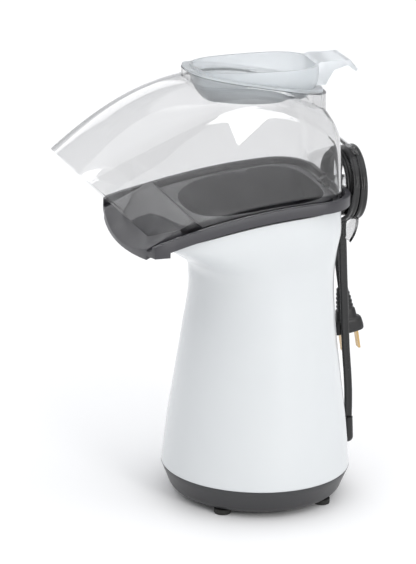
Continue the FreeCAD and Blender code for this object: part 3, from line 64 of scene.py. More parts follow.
# ---------------------------------------------------------------------------------------------------
# Small helpers
# ---------------------------------------------------------------------------------------------------
def linear(colour: str) -> tuple[float, float, float, float]:
    """Turns an sRGB hex colour to linear light.

    Args:
        colour: six hex digits with a leading "#".

    Returns:
        Red, green, blue and an alpha of 1.
    """
    shares = [int(colour[i:i + 2], 16) / 255 for i in (1, 3, 5)]
    lit = [s / 12.92 if s <= 0.04045 else ((s + 0.055) / 1.055) ** 2.4 for s in shares]
    return lit[0], lit[1], lit[2], 1.0


def add_node(tree: bpy.types.NodeTree, kind: str, settings: dict | None = None,
             inputs: dict | None = None) -> bpy.types.Node:
    """Adds a node with its settings, and fills or links its inputs.

    Args:
        tree: the shader or geometry tree.
        kind: the node's type name.
        settings: property names and values.
        inputs: socket names or numbers, each with a plain value or the socket that feeds it.

    Returns:
        The new node.
    """
    node = tree.nodes.new(kind)
    for name, value in (settings or {}).items():
        setattr(node, name, value)
    for key, value in (inputs or {}).items():
        if isinstance(value, bpy.types.NodeSocket):
            tree.links.new(value, node.inputs[key])
        else:
            node.inputs[key].default_value = value
    return node


def new_piece(name: str, mesh: bpy.types.Mesh) -> bpy.types.Object:
    """Links an object that carries the mesh, at the origin.

    Args:
        name: the object's name.
        mesh: its mesh.

    Returns:
        The object.
    """
    piece = bpy.data.objects.new(name, mesh)
    bpy.context.scene.collection.objects.link(piece)
    return piece


def mesh_of(name: str, shape: bmesh.types.BMesh, outwards: bool = True) -> bpy.types.Mesh:
    """Turns a bmesh into a smooth-shaded mesh.

    Args:
        name: the mesh's name.
        shape: the finished bmesh, which is freed.
        outwards: whether to recalculate the normals of the closed shape.

    Returns:
        The mesh.
    """
    bmesh.ops.remove_doubles(shape, verts=shape.verts[:], dist=MERGE_GAP)
    if outwards:
        bmesh.ops.recalc_face_normals(shape, faces=shape.faces[:])
    for face in shape.faces:
        face.smooth = True
    mesh = bpy.data.meshes.new(name)
    shape.to_mesh(mesh)
    shape.free()
    return mesh


def loft(shape: bmesh.types.BMesh, rings: list[list[bmesh.types.BMVert]], closed: bool = True) -> None:
    """Joins rings of vertices by faces, one ring to the next.

    Args:
        shape: the bmesh that holds them.
        rings: rings of as many vertices each, in order.
        closed: whether a face closes each end.
    """
    for ring, beyond in zip(rings, rings[1:]):
        for k in range(len(ring)):
            after = (k + 1) % len(ring)
            shape.faces.new((ring[k], ring[after], beyond[after], beyond[k]))
    if closed:
        shape.faces.new(list(reversed(rings[0])))
        shape.faces.new(rings[-1])


def apply_modifiers(piece: bpy.types.Object) -> bpy.types.Object:
    """Bakes a piece's modifiers into a plain mesh and clears them.

    Args:
        piece: the piece with its modifiers.

    Returns:
        The same piece.
    """
    bpy.context.view_layer.update()
    depsgraph = bpy.context.evaluated_depsgraph_get()
    mesh = bpy.data.meshes.new_from_object(piece.evaluated_get(depsgraph))
    piece.modifiers.clear()
    piece.data = mesh
    return piece


def sharpen(mesh: bpy.types.Mesh, degrees: float) -> None:
    """Shades a mesh smooth, except across edges that turn by more than an angle.

    Args:
        mesh: the mesh.
        degrees: that angle.
    """
    shape = bmesh.new()
    shape.from_mesh(mesh)
    limit = math.radians(degrees)
    for edge in shape.edges:
        edge.smooth = len(edge.link_faces) == 2 and edge.calc_face_angle(0.0) < limit
    for face in shape.faces:
        face.smooth = True
    shape.to_mesh(mesh)
    shape.free()


# ---------------------------------------------------------------------------------------------------
# Finishes
# ---------------------------------------------------------------------------------------------------
class Grain(Enum):
    """What the making leaves on a surface."""

    MOULDED = "a fine eroded mould texture"
    TURNED = "rings about the upright axis"
    WOUND = "windings one beside the next"
    FLAKED = "pressed flakes"


@dataclass(frozen=True)
class Finish:
    """One real material and how its surface was made.

    Args:
        name: the Blender material's name.
        colour: sRGB hex of the material itself.
        roughness: mean roughness.
        shade: sRGB hex that the colour drifts to in soft patches.
        metallic: 1 for a metal.
        ior: index of refraction, left at Blender's own for a metal.
        grain: the kind of fine relief.
        grain_mm: size of one grain, or of one radian of a wave. The real mould texture, rings and
            windings are finer, and too fine to show, so each is drawn as coarse as it needs to show.
        depth_mm: height of that relief.
        smear: how much the roughness drifts, as handling and the mould leave it.
        patch_mm: size of a soft patch of colour or roughness.
        clarity: share of light that goes through.
    """

    name: str
    colour: str
    roughness: float
    shade: str
    metallic: float = 0.0
    ior: float = 1.5
    grain: Grain = Grain.MOULDED
    grain_mm: float = 0.6
    depth_mm: float = 0.02
    smear: float = 0.08
    patch_mm: float = 30.0
    clarity: float = 0.0

    def pattern(self, tree: bpy.types.NodeTree, place: bpy.types.NodeSocket) -> bpy.types.NodeSocket:
        """Adds the grain's nodes.

        Args:
            tree: the material's tree.
            place: socket with the place on the piece, in metres.

        Returns:
            The socket with the relief's height, from 0 to 1.
        """
        scale = 1 / (self.grain_mm * MM)
        if self.grain is Grain.TURNED:
            node = add_node(tree, "ShaderNodeTexWave", {"wave_type": "RINGS", "rings_direction": "Z"}, {
                "Vector": place, "Scale": scale / WAVE_RADIANS, "Distortion": 0.4, "Detail": 2.0})
            return node.outputs["Fac"]
        if self.grain is Grain.WOUND:
            node = add_node(tree, "ShaderNodeTexWave", {"bands_direction": "DIAGONAL"}, {
                "Vector": place, "Scale": scale / WAVE_RADIANS, "Distortion": 1.5})
            return node.outputs["Fac"]
        if self.grain is Grain.FLAKED:
            node = add_node(tree, "ShaderNodeTexVoronoi", {}, {"Vector": place, "Scale": scale})
            return node.outputs["Distance"]
        node = add_node(tree, "ShaderNodeTexNoise", {}, {"Vector": place, "Scale": scale, "Detail": 3.0})
        return node.outputs["Fac"]

    def material(self) -> bpy.types.Material:
        """Builds the material, or returns it if it is there already.

        Returns:
            The material, named after the finish.
        """
        found = bpy.data.materials.get(self.name)
        if found is not None:
            return found
        made = bpy.data.materials.new(self.name)
        made.use_nodes = True
        tree = made.node_tree
        tree.nodes.clear()
        place = add_node(tree, "ShaderNodeTexCoord").outputs["Object"]
        patches = add_node(tree, "ShaderNodeTexNoise", {}, {
            "Vector": place, "Scale": 1 / (self.patch_mm * MM), "Detail": 3.0, "Roughness": 0.55})
        colour = add_node(tree, "ShaderNodeMix", {"data_type": "RGBA"}, {
            0: patches.outputs["Fac"], 6: linear(self.colour), 7: linear(self.shade)})
        rough = add_node(tree, "ShaderNodeMapRange", {}, {
            "Value": patches.outputs["Fac"], "From Min": 0.3, "From Max": 0.7,
            "To Min": max(self.roughness - self.smear, 0.0),
            "To Max": min(self.roughness + self.smear, 1.0)})
        bump = add_node(tree, "ShaderNodeBump", {}, {
            "Height": self.pattern(tree, place), "Distance": self.depth_mm * MM, "Strength": 0.6})
        shader = add_node(tree, "ShaderNodeBsdfPrincipled", {}, {
            "Base Color": colour.outputs[2], "Roughness": rough.outputs["Result"],
            "Metallic": self.metallic, "Normal": bump.outputs["Normal"],
            "Transmission Weight": self.clarity})
        if self.metallic < 0.5:
            shader.inputs["IOR"].default_value = self.ior
        add_node(tree, "ShaderNodeOutputMaterial", {}, {"Surface": shader.outputs["BSDF"]})
        made.diffuse_color = linear(self.colour)
        return made


# ABS moulded in a polished tool: an even white with a clear but soft gloss.
WHITE_ABS = Finish("white_gloss_abs", "#D5D8D9", 0.2, "#D1D4D6", ior=1.54, depth_mm=0.004,
                   grain_mm=1.2, smear=0.03, patch_mm=60)
# ABS moulded in an eroded tool: charcoal, its sheen broken up by the texture.
CHARCOAL_ABS = Finish("charcoal_textured_abs", "#333237", 0.38, "#37363B", ior=1.54, grain_mm=0.5,
                      depth_mm=0.006, smear=0.05)
# The same polymer on the base, a little glossier.
BASE_ABS = Finish("dark_base_abs", "#2F2F31", 0.36, "#353537", ior=1.54, grain_mm=0.5, depth_mm=0.012,
                  smear=0.05)
# Polypropylene, milky because its crystals scatter the light that goes through.
MILKY_PP = Finish("milky_polypropylene", "#F7FAFC", 0.32, "#F4F8FA", ior=1.49, grain_mm=0.8,
                  depth_mm=0.004, smear=0.04, clarity=0.78)
# Plasticised PVC drawn through a die: black, smooth and faintly glossy.
CORD_PVC = Finish("black_cord_pvc", "#0C0C0D", 0.24, "#111112", ior=1.53, grain_mm=0.9, depth_mm=0.01,
                  smear=0.08, patch_mm=12)
# The plug's PVC, moulded in a textured tool: black and nearly matt.
MOULDED_PVC = Finish("moulded_plug_pvc", "#0E0E0F", 0.4, "#131314", ior=1.53, grain_mm=0.4,
                     depth_mm=0.015, smear=0.06)
# Moulded rubber: dark and matt, with a faint bloom.
FOOT_RUBBER = Finish("foot_rubber", "#1D1D1C", 0.7, "#262624", ior=1.52, grain_mm=0.7, depth_mm=0.03)
# Brass strip, stamped and left bare: warm, with a rolled sheen.
BLADE_BRASS = Finish("stamped_brass", "#C6A878", 0.25, "#B79A68", metallic=1.0, grain_mm=0.5,
                     depth_mm=0.004, patch_mm=6)
# Aluminium sheet spun on a lathe: fine rings about the axis.
SPUN_ALUMINIUM = Finish("spun_aluminium", "#C4C6C8", 0.34, "#B4B6B9", metallic=1.0, grain=Grain.TURNED,
                        grain_mm=1.2, depth_mm=0.02)
# Steel plated with zinc: a cool grey, mottled by the plating's crystals.
ZINC_STEEL = Finish("zinc_plated_steel", "#A9ABAC", 0.33, "#9A9C9E", metallic=1.0, grain_mm=1.5,
                    depth_mm=0.01, patch_mm=9)
# Stacked iron laminations: dark and dull, darker still where the oil has stayed.
MOTOR_IRON = Finish("laminated_iron", "#4B4C50", 0.4, "#3E3F43", metallic=1.0, grain_mm=0.5,
                    depth_mm=0.02, patch_mm=8)
# Copper wire under clear enamel, wound: warm, with a highlight on each turn.
ENAMELLED_COPPER = Finish("enamelled_copper_wire", "#A5562A", 0.28, "#8C4420", metallic=1.0,
                          grain=Grain.WOUND, grain_mm=0.5, depth_mm=0.12, patch_mm=5)
# Resistance wire, oxidised by its own heat: brownish grey and dull.
NICHROME = Finish("oxidised_nichrome", "#6D665E", 0.45, "#565049", metallic=1.0, grain_mm=0.6,
                  depth_mm=0.01, patch_mm=5)
# Mica flakes pressed with a binder: tan, with a scaly sheen.
PRESSED_MICA = Finish("pressed_mica", "#A8926B", 0.38, "#8E7A55", ior=1.58, grain=Grain.FLAKED,
                      grain_mm=2.5, depth_mm=0.05, patch_mm=10)
# Nylon moulded with glass fibres, which roughen its skin: black and matt.
GLASS_NYLON = Finish("glass_filled_nylon", "#1C1C1D", 0.55, "#252526", ior=1.53, grain_mm=0.8,
                     depth_mm=0.03)
# Uncoloured polypropylene: a waxy cream.
NATURAL_PP = Finish("natural_polypropylene", "#CFC9BC", 0.4, "#C4BDAF", ior=1.49, grain_mm=0.8,
                    depth_mm=0.01)
# Paper board pressed with phenolic resin: brown, with the paper's soft mottling.
PHENOLIC = Finish("phenolic_paper_board", "#6B4A22", 0.45, "#7A5629", ior=1.6, grain_mm=0.7,
                  depth_mm=0.02, patch_mm=7)
# Bronze powder sintered into bearings: brownish, with fine open pores.
BRONZE = Finish("sintered_bronze", "#93703C", 0.5, "#7F5F30", metallic=1.0, grain_mm=0.35,
                depth_mm=0.03, patch_mm=3)
# Silicone rubber, moulded: grey with a soft satin sheen.
SILICONE = Finish("grey_silicone", "#5A5A5C", 0.5, "#666668", ior=1.41, grain_mm=1.0, depth_mm=0.01)


@dataclass(frozen=True)
class ClearStyrene:
    """Clear styrene plastic moulded in a mirror-polished tool: glassy, with a faint grey body.

    Args:
        name: the Blender material's name.
        body: sRGB hex of the faint grey that its depth adds.
        density: how soon depth adds it, per metre.
        ior: index of refraction.
        roughness: almost none.
        ripple_mm: width of the slow waves that the flow of the melt leaves.
        ripple_depth_mm: their height.
    """

    name: str = "clear_styrene"
    body: str = "#7F8081"
    density: float = 78.0
    ior: float = 1.57
    roughness: float = 0.015
    ripple_mm: float = 45.0
    ripple_depth_mm: float = 0.05

    def material(self) -> bpy.types.Material:
        """Builds the material, or returns it if it is there already.

        Returns:
            The material, glass with a body that takes up a little light.
        """
        found = bpy.data.materials.get(self.name)
        if found is not None:
            return found
        made = bpy.data.materials.new(self.name)
        made.use_nodes = True
        tree = made.node_tree
        tree.nodes.clear()
        place = add_node(tree, "ShaderNodeTexCoord").outputs["Object"]
        ripple = add_node(tree, "ShaderNodeTexNoise", {}, {
            "Vector": place, "Scale": 1 / (self.ripple_mm * MM), "Detail": 1.0})
        bump = add_node(tree, "ShaderNodeBump", {}, {
            "Height": ripple.outputs["Fac"], "Distance": self.ripple_depth_mm * MM, "Strength": 0.5})
        shader = add_node(tree, "ShaderNodeBsdfPrincipled", {}, {
            "Base Color": linear("#FFFFFF"), "Roughness": self.roughness, "IOR": self.ior,
            "Transmission Weight": 1.0, "Normal": bump.outputs["Normal"]})
        depth = add_node(tree, "ShaderNodeVolumeAbsorption", {}, {
            "Color": linear(self.body), "Density": self.density})
        add_node(tree, "ShaderNodeOutputMaterial", {}, {
            "Surface": shader.outputs["BSDF"], "Volume": depth.outputs["Volume"]})
        made.diffuse_color = (0.9, 0.92, 0.94, 0.3)
        return made


CLEAR_STYRENE = ClearStyrene()


# ---------------------------------------------------------------------------------------------------
# Pieces that keep their CAD shape
# ---------------------------------------------------------------------------------------------------
@dataclass
class CadShell:
    """A CAD piece copied, merged and finished: smooth where it curves, and rounded along its edges.

    Args:
        node: the CAD node, which the copy replaces.
        body: the body that it rides on.
        slot: the record's material slot; not used.
        finish: what it is made of.
        edge_mm: width of the rounded edges, or 0 for none.
        sharp_degrees: the turn past which an edge shows as an edge.
        merge_mm: corners of the loose triangles closer than this are one.
        flat_degrees: triangles that turn by less are one flat face.
        round_degrees: the turn past which an edge is rounded.
    """

    node: str
    body: str
    slot: str
    finish: Finish
    edge_mm: float = 0.0
    sharp_degrees: float = 32.0
    merge_mm: float = 0.002
    flat_degrees: float = 0.4
    round_degrees: float = 50.0

    def build(self) -> bpy.types.Object:
        """Makes the piece and puts it in place of its CAD node.

        Returns:
            The piece.
        """
        shape = bmesh.new()
        shape.from_mesh(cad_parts[self.node].data)
        bmesh.ops.remove_doubles(shape, verts=shape.verts[:], dist=self.merge_mm * MM)
        mesh = bpy.data.meshes.new(f"{self.node}_shell")
        bmesh.ops.dissolve_limit(shape, angle_limit=math.radians(self.flat_degrees),
                                 verts=shape.verts[:], edges=shape.edges[:])
        bmesh.ops.triangulate(shape, faces=[f for f in shape.faces if len(f.verts) > 4])
        shape.to_mesh(mesh)
        shape.free()
        piece = new_piece(f"{self.node}_shell", mesh)
        if self.edge_mm:
            bevel = piece.modifiers.new("edges", "BEVEL")
            bevel.width = self.edge_mm * MM
            bevel.segments = 2
            bevel.limit_method = "ANGLE"
            bevel.angle_limit = math.radians(self.round_degrees)
            bevel.use_clamp_overlap = True
            apply_modifiers(piece)
        sharpen(piece.data, self.sharp_degrees)
        piece.data.materials.clear()
        piece.data.materials.append(self.finish.material())
        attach(piece, self.body)
        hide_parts(self.node)
        return piece


# ---------------------------------------------------------------------------------------------------
# White shell
# ---------------------------------------------------------------------------------------------------
@dataclass
class OuterHousing:
    """White shell, round at the seam and swept forwards under the chute above its waist.

    Args:
        axis_y: where its axis stands, from the middle of the object, in mm like the sizes below.
        levels: height, half width, front and back reach, and the powers that square up front and back.
        arc_behind: centre of the top edge's arc, behind the axis.
        arc_below: that centre, below the floor.
        arc_radius: that arc.
        wall: moulded wall.
        edge_round: rounding of the lower edge.
        notch_radius: slot for the hook's post in the top edge.
        notch_height: centre of that slot.
        columns: points round the shell.
        rows: levels between the seam and the top edge.
        edge_turns: degrees of the lower edge's rounding at which it has a level.
        arc_rounds: steps that settle the top edge's height, which depends on its own place.
        sharp_degrees: the turn past which an edge shows as an edge.
    """

    axis_y: float = 41.5
    levels: tuple[tuple[float, ...], ...] = (
        (24.0, 72.0, 72.0, 72.0, 2.0, 2.0), (60.0, 68.3, 68.3, 68.3, 2.0, 2.0),
        (96.0, 63.3, 63.3, 63.3, 2.0, 2.0), (132.0, 58.5, 58.3, 58.7, 2.0, 2.0),
        (168.0, 55.2, 54.0, 56.0, 2.0, 2.0), (181.0, 55.6, 54.3, 55.8, 2.1, 2.05),
        (189.0, 56.4, 57.8, 55.8, 2.3, 2.15), (199.0, 58.5, 71.1, 55.8, 2.9, 2.3),
        (207.0, 60.2, 82.1, 55.8, 3.8, 2.5), (214.0, 61.2, 90.4, 55.6, 5.0, 2.7),
        (224.0, 61.8, 91.0, 54.6, 6.0, 2.8), (252.0, 61.8, 91.0, 54.2, 6.0, 2.8))
    arc_behind: float = 46.1
    arc_below: float = 242.0
    arc_radius: float = 477.8
    wall: float = 2.2
    edge_round: float = 0.8
    notch_radius: float = 9.7
    notch_height: float = 238.0
    columns: int = 300
    rows: int = 84
    edge_turns: tuple[int, ...] = (0, 30, 60)
    arc_rounds: int = 12
    sharp_degrees: float = 40.0

    def sizes_at(self, height: float) -> list[float]:
        """Reads the level sizes at a height, on a smooth curve that never swings past its points.

        Args:
            height: height above the floor.

        Returns:
            The sizes after the height, in the order of a level.
        """
        table = self.levels
        i = max(k for k in range(len(table) - 1) if table[k][0] <= height + 1e-9)
        low, high = table[i], table[i + 1]
        step = high[0] - low[0]
        share = (height - low[0]) / step
        found = []
        for column in range(1, len(low)):
            slopes = []
            for k in (i, i + 1):
                if k in (0, len(table) - 1):
                    slopes.append((high[column] - low[column]) / step)
                    continue
                before = (table[k][column] - table[k - 1][column]) / (table[k][0] - table[k - 1][0])
                after = (table[k + 1][column] - table[k][column]) / (table[k + 1][0] - table[k][0])
                slopes.append(0.0 if before * after <= 0 else 2 * before * after / (before + after))
            s, t = share, share - 1
            found.append(low[column] * (1 + 2 * s) * t * t + slopes[0] * step * s * t * t
                         + high[column] * (3 - 2 * s) * s * s + slopes[1] * step * s * s * t)
        return found

    def point(self, angle: float, height: float, inset: float = 0.0) -> Vector:
        """A point of the outer face, in mm about the axis.

        Args:
            angle: direction about the axis, in radians.
            height: height above the floor.
            inset: depth below the face.

        Returns:
            The point.
        """
        wide, front, back, front_power, back_power = self.sizes_at(height)
        x, y = math.cos(angle), math.sin(angle)
        reach, power = (back, back_power) if y > 0 else (front, front_power)
        across, along = abs(x) / (wide - inset), abs(y) / (reach - inset)
        radius = (across ** power + along ** power) ** (-1 / power)
        return Vector((x * radius, y * radius, height))

    def top(self, angle: float) -> float:
        """Height of the top edge over a direction: the arc, or the slot for the hook's post.

        Args:
            angle: direction about the axis, in radians.

        Returns:
            The height above the floor.
        """
        height = self.arc_radius - self.arc_below
        for _ in range(self.arc_rounds):
            place = self.point(angle, min(height, self.levels[-1][0]))
            height = math.sqrt(self.arc_radius ** 2 - (place.y - self.arc_behind) ** 2) - self.arc_below
        if place.y > 0 and abs(place.x) < self.notch_radius:
            depth = math.sqrt(self.notch_radius ** 2 - place.x ** 2)
            return min(height, self.notch_height - depth)
        return height

    def build(self) -> bpy.types.Object:
        """Makes the shell as a smooth skin with its wall.

        Returns:
            The white shell.
        """
        shape = bmesh.new()
        seam = self.levels[0][0]
        grid = []
        for column in range(self.columns):
            angle = 2 * math.pi * (column + 0.5) / self.columns
            top = self.top(angle)
            line = []
            for turn in self.edge_turns:
                rise = self.edge_round * (1 - math.cos(math.radians(turn)))
                inset = self.edge_round * (1 - math.sin(math.radians(turn)))
                line.append(self.point(angle, seam + rise, inset))
            start = seam + self.edge_round
            for row in range(self.rows + 1):
                line.append(self.point(angle, start + (top - start) * row / self.rows))
            grid.append([shape.verts.new((p + Vector((0, self.axis_y, 0))) * MM) for p in line])
        for column, line in enumerate(grid):
            beside = grid[(column + 1) % self.columns]
            for k in range(len(line) - 1):
                shape.faces.new((line[k], beside[k], beside[k + 1], line[k + 1]))
        piece = new_piece("white_shell", mesh_of("white_shell", shape, outwards=False))
        solid = piece.modifiers.new("wall", "SOLIDIFY")
        solid.thickness = self.wall * MM
        solid.offset = -1.0
        solid.use_even_offset = True
        solid.use_quality_normals = True
        apply_modifiers(piece)
        sharpen(piece.data, self.sharp_degrees)
        piece.data.materials.append(WHITE_ABS.material())
        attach(piece, "root")
        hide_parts("outer_housing")
        return piece


# ---------------------------------------------------------------------------------------------------
# Clear hood
# ---------------------------------------------------------------------------------------------------
def soft_max(a: np.ndarray, b: np.ndarray, width: float) -> np.ndarray:
    """The larger of two distances, eased over a width so that their edge comes out round."""
    near = np.maximum(width - np.abs(a - b), 0.0) / width
    return np.maximum(a, b) + near * near * width / 4


def prism_mesh(name: str, outline: list[tuple[float, float]], half: float) -> bpy.types.Mesh:
    """Extrudes a side view both ways across the object.

    Args:
        name: the mesh's name.
        outline: distance behind the axis and height of each corner, in mm.
        half: half width across, in mm.

    Returns:
        The closed prism, about the axis.
    """
    shape = bmesh.new()
    ends = [[shape.verts.new(Vector((side * half, y, z)) * MM) for y, z in outline] for side in (-1, 1)]
    shape.faces.new(ends[0])
    shape.faces.new(list(reversed(ends[1])))
    for k in range(len(outline)):
        after = (k + 1) % len(outline)
        shape.faces.new((ends[0][k], ends[1][k], ends[1][after], ends[0][after]))
    return mesh_of(name, shape)


def combine(piece: bpy.types.Object, mesh: bpy.types.Mesh, operation: str) -> None:
    """Joins another closed mesh to a piece, or cuts it out.

    Args:
        piece: the piece, which takes the result.
        mesh: the other closed mesh.
        operation: UNION or DIFFERENCE.
    """
    other = new_piece("tool", mesh)
    step = piece.modifiers.new("step", "BOOLEAN")
    step.operation = operation
    step.object = other
    step.solver = "EXACT"
    apply_modifiers(piece)
    bpy.data.objects.remove(other)


def arc_through(first: tuple[float, float], middle: tuple[float, float], last: tuple[float, float],
                steps: int = 10) -> list[tuple[float, float]]:
    """Points of the arc from the first point over the middle one to the last.

    Args:
        first: where the arc starts.
        middle: a point on its way.
        last: where it ends.
        steps: spans between its points.

    Returns:
        The points.
    """
    a, b, c = (complex(*p) for p in (first, middle, last))
    ratio = (c - a) / (b - a)
    centre = a - (a - b) * (ratio - abs(ratio) ** 2) / (2j * ratio.imag)
    start, over, end = ((q - centre) for q in (a, b, c))
    turn = cmath.phase(over / start) + cmath.phase(end / over)
    found = [centre + start * cmath.exp(1j * turn * i / steps) for i in range(steps + 1)]
    return [(p.real, p.imag) for p in found]


@dataclass
class ClearHood:
    """Clear hood: a vaulted tunnel with a soft crease along each side, closed behind by a round back,
    with the neck for the cup on its roof and the cord hook behind.

    Args:
        axis_y: the housing's axis, from the middle of the object, in mm like the sizes below.
        wall: moulded wall.
        stations: distance behind the axis, half width at the foot and at the crease, and height of the
            crease and of the roof.
        back: reach of the back at four heights.
        half_width: widest half width.
        corner: radius of the back corners.
        crease_round: how wide the crease along the sides is eased.
        back_round: how wide the edge between roof and back is eased.
        arc_behind: centre of the foot's arc, behind the axis.
        arc_below: that centre, below the floor.
        foot_arc: radius of the foot's arc.
        mouth: foot and tip of the mouth's edge.
        neck: front and back reach, and half width at the front and at the back.
        rim: height of the neck's rim at the front and at the back.
        edge_round: rounding of the cut edges.
        post: radius, height of its centre, and wall.
        hook: outer face, thickness, half width, top and foot.
        foot_level: height at which the half width at the foot is given.
        smooth_powers: powers of the curves through the stations and through the back's heights.
        heart: a point inside from which the whole skin can be seen, about the axis.
        skin_ends: how far in front of the axis and how low the skin runs, past its cut edges.
        neck_levels: height, inset and spread of the neck's outer face.
        bore_levels: the same of its bore, whose inset is the wall.
        post_start: where the post begins, inside the hood's back.
        foot_reach: first and last place of the foot's arc, and its step.
        round_degrees: the turn past which a cut edge is rounded.
        sharp_degrees: the turn past which an edge shows as an edge.
    """

    axis_y: float = 41.5
    wall: float = 2.2
    stations: tuple[tuple[float, ...], ...] = (
        (-176, 58.0, 47.0, 214.0, 268.5), (-160, 58.0, 47.5, 231.0, 282.5),
        (-136, 58.0, 48.5, 256.0, 300.5), (-115, 58.2, 49.0, 277.5, 313.8),
        (-97, 58.6, 49.3, 293.0, 322.8), (-75, 59.2, 49.5, 309.0, 329.6),
        (-50, 59.6, 49.5, 319.0, 332.0), (-20, 59.8, 49.0, 323.0, 331.0),
        (9, 59.8, 48.5, 316.5, 325.0), (35, 59.6, 48.0, 300.0, 312.0), (62, 59.2, 47.0, 270.0, 286.0))
    back: tuple[tuple[float, float], ...] = ((190, 51.0), (240, 50.0), (290, 46.5), (345, 39.0))
    half_width: float = 57.4
    corner: float = 24.5
    crease_round: float = 7.0
    back_round: float = 9.0
    arc_behind: float = 46.1
    arc_below: float = 242.0
    foot_arc: float = 483.8
    mouth: tuple[tuple[float, float], tuple[float, float]] = ((-101.0, 221.5), (-165.0, 282.5))
    neck: tuple[float, float, float, float] = (64.0, 42.5, 29.5, 33.5)
    rim: tuple[float, float] = (337.0, 317.0)
    edge_round: float = 0.5
    post: tuple[float, float, float] = (9.0, 238.0, 2.0)
    hook: tuple[float, float, float, float, float] = (73.0, 2.4, 13.0, 276.0, 197.0)
    foot_level: float = 196.0
    smooth_powers: tuple[int, int] = (6, 3)
    heart: tuple[float, float, float] = (0.0, -40.0, 252.0)
    skin_ends: tuple[float, float] = (188.0, 202.0)
    neck_levels: tuple[tuple[float, float, float], ...] = (
        (302, 0, 3.5), (322, 0, 1.5), (329, 0, 0), (350, 0, 0))
    bore_levels: tuple[tuple[float, float, float], ...] = (
        (292, 2.2, 3.0), (322, 2.2, 1.0), (329, 2.2, 0), (351, 2.2, 0))
    post_start: float = 48.6
    foot_reach: tuple[int, int, int] = (-230, 51, 4)
    round_degrees: float = 62.0
    sharp_degrees: float = 38.0

    def outside(self, x: np.ndarray, y: np.ndarray, z: np.ndarray) -> np.ndarray:
        """How far points lie outside the hood's outer face, below 0 inside it.

        Args:
            x: across the object.
            y: behind the axis.
            z: height above the floor.

        Returns:
            The distances, eased at the creases.
        """
        table = np.array(self.stations)
        vault_power, back_power = self.smooth_powers
        along = np.clip(y, table[0, 0], table[-1, 0]) / 100
        foot, crease, crease_z, roof_z = (
            np.polyval(np.polyfit(table[:, 0] / 100, table[:, k], vault_power), along)
            for k in range(1, 5))
        rise = roof_z - crease_z
        radius = (crease ** 2 + rise ** 2) / (2 * rise)
        roof = np.hypot(x, z - roof_z + radius) - radius
        lean = (foot - crease) / (crease_z - self.foot_level)
        side = (np.abs(x) - foot + lean * (z - self.foot_level)) / np.sqrt(1 + lean ** 2)
        vault = soft_max(roof, side, self.crease_round)
        heights, reaches = np.array(self.back).T
        reach = np.polyval(np.polyfit(heights / 100, reaches, back_power),
                           np.clip(z, heights[0], heights[-1]) / 100)
        over_x = np.abs(x) - (self.half_width - self.corner)
        over_y = y - (reach - self.corner)
        plan = (np.hypot(np.maximum(over_x, 0), np.maximum(over_y, 0))
                + np.minimum(np.maximum(over_x, over_y), 0) - self.corner)
        return soft_max(vault, plan, self.back_round)

    def skin(self, inset: float, around: int = 260, across: int = 130, halvings: int = 30,
             farthest: float = 300.0) -> bpy.types.Mesh:
        """Closed skin at a depth below the outer face, run past its foot and its mouth.

        Args:
            inset: depth below the outer face.
            around: points round the line across the object.
            across: points from side to side.
            halvings: how often each ray's span is halved about the skin.
            farthest: span that each ray starts with.

        Returns:
            The mesh, about the axis.
        """
        turn = np.linspace(0, 2 * np.pi, around, endpoint=False)[:, None]
        tilt = np.linspace(-np.pi / 2, np.pi / 2, across + 1)[None, 1:-1]
        way = np.stack(np.broadcast_arrays(np.sin(tilt), np.cos(tilt) * np.cos(turn),
                                           np.cos(tilt) * np.sin(turn)))
        poles = np.array([[-1.0, 1.0], [0.0, 0.0], [0.0, 0.0]])
        way = np.concatenate([way.reshape(3, -1), poles], axis=1)
        centre = np.array(self.heart)[:, None]
        front, bottom = self.skin_ends
        low, high = np.zeros(way.shape[1]), np.full(way.shape[1], farthest)
        for _ in range(halvings):
            reach = (low + high) / 2
            x, y, z = centre + way * reach
            gap = np.maximum(self.outside(x, y, z) + inset, np.maximum(-y - front, bottom - z))
            low, high = np.where(gap < 0, reach, low), np.where(gap < 0, high, reach)
        points = ((centre + way * (low + high) / 2) * MM).T
        shape = bmesh.new()
        verts = [shape.verts.new(p) for p in points.tolist()]
        columns = across - 1
        for i in range(around):
            ahead = (i + 1) % around
            shape.faces.new((verts[-2], verts[i * columns], verts[ahead * columns]))
            shape.faces.new((verts[-1], verts[(ahead + 1) * columns - 1], verts[(i + 1) * columns - 1]))
            for k in range(columns - 1):
                shape.faces.new((verts[i * columns + k], verts[i * columns + k + 1],
                                 verts[ahead * columns + k + 1], verts[ahead * columns + k]))
        return mesh_of("hood_skin", shape)

    def neck_mesh(self, levels: tuple[tuple[float, float, float], ...],
                  steps: int = 72) -> bpy.types.Mesh:
        """Closed prism of the neck through levels of height, inset and spread.

        Args:
            levels: height, inset and spread of each ring.
            steps: points in a ring.

        Returns:
            The prism, about the axis.
        """
        front, behind, small, large = self.neck
        power = 2 / 3        # squares up the plan
        most_behind = 1.5    # spread towards the hood's back, where there is no room for more
        shape = bmesh.new()
        rings = []
        for height, inset, spread in levels:
            ring = []
            ahead, after = front - inset + spread, behind - inset + min(spread, most_behind)
            for k in range(steps):
                angle = 2 * math.pi * k / steps
                along = math.copysign(abs(math.sin(angle)) ** power, math.sin(angle))
                beside = math.copysign(abs(math.cos(angle)) ** power, math.cos(angle))
                half = small + (large - small) * 0.5 * (1 + along) - inset + spread
                place = 0.5 * (after - ahead) + along * 0.5 * (after + ahead)
                ring.append(shape.verts.new(Vector((beside * half, place, height)) * MM))
            rings.append(ring)
        loft(shape, rings)
        return mesh_of("neck", shape)

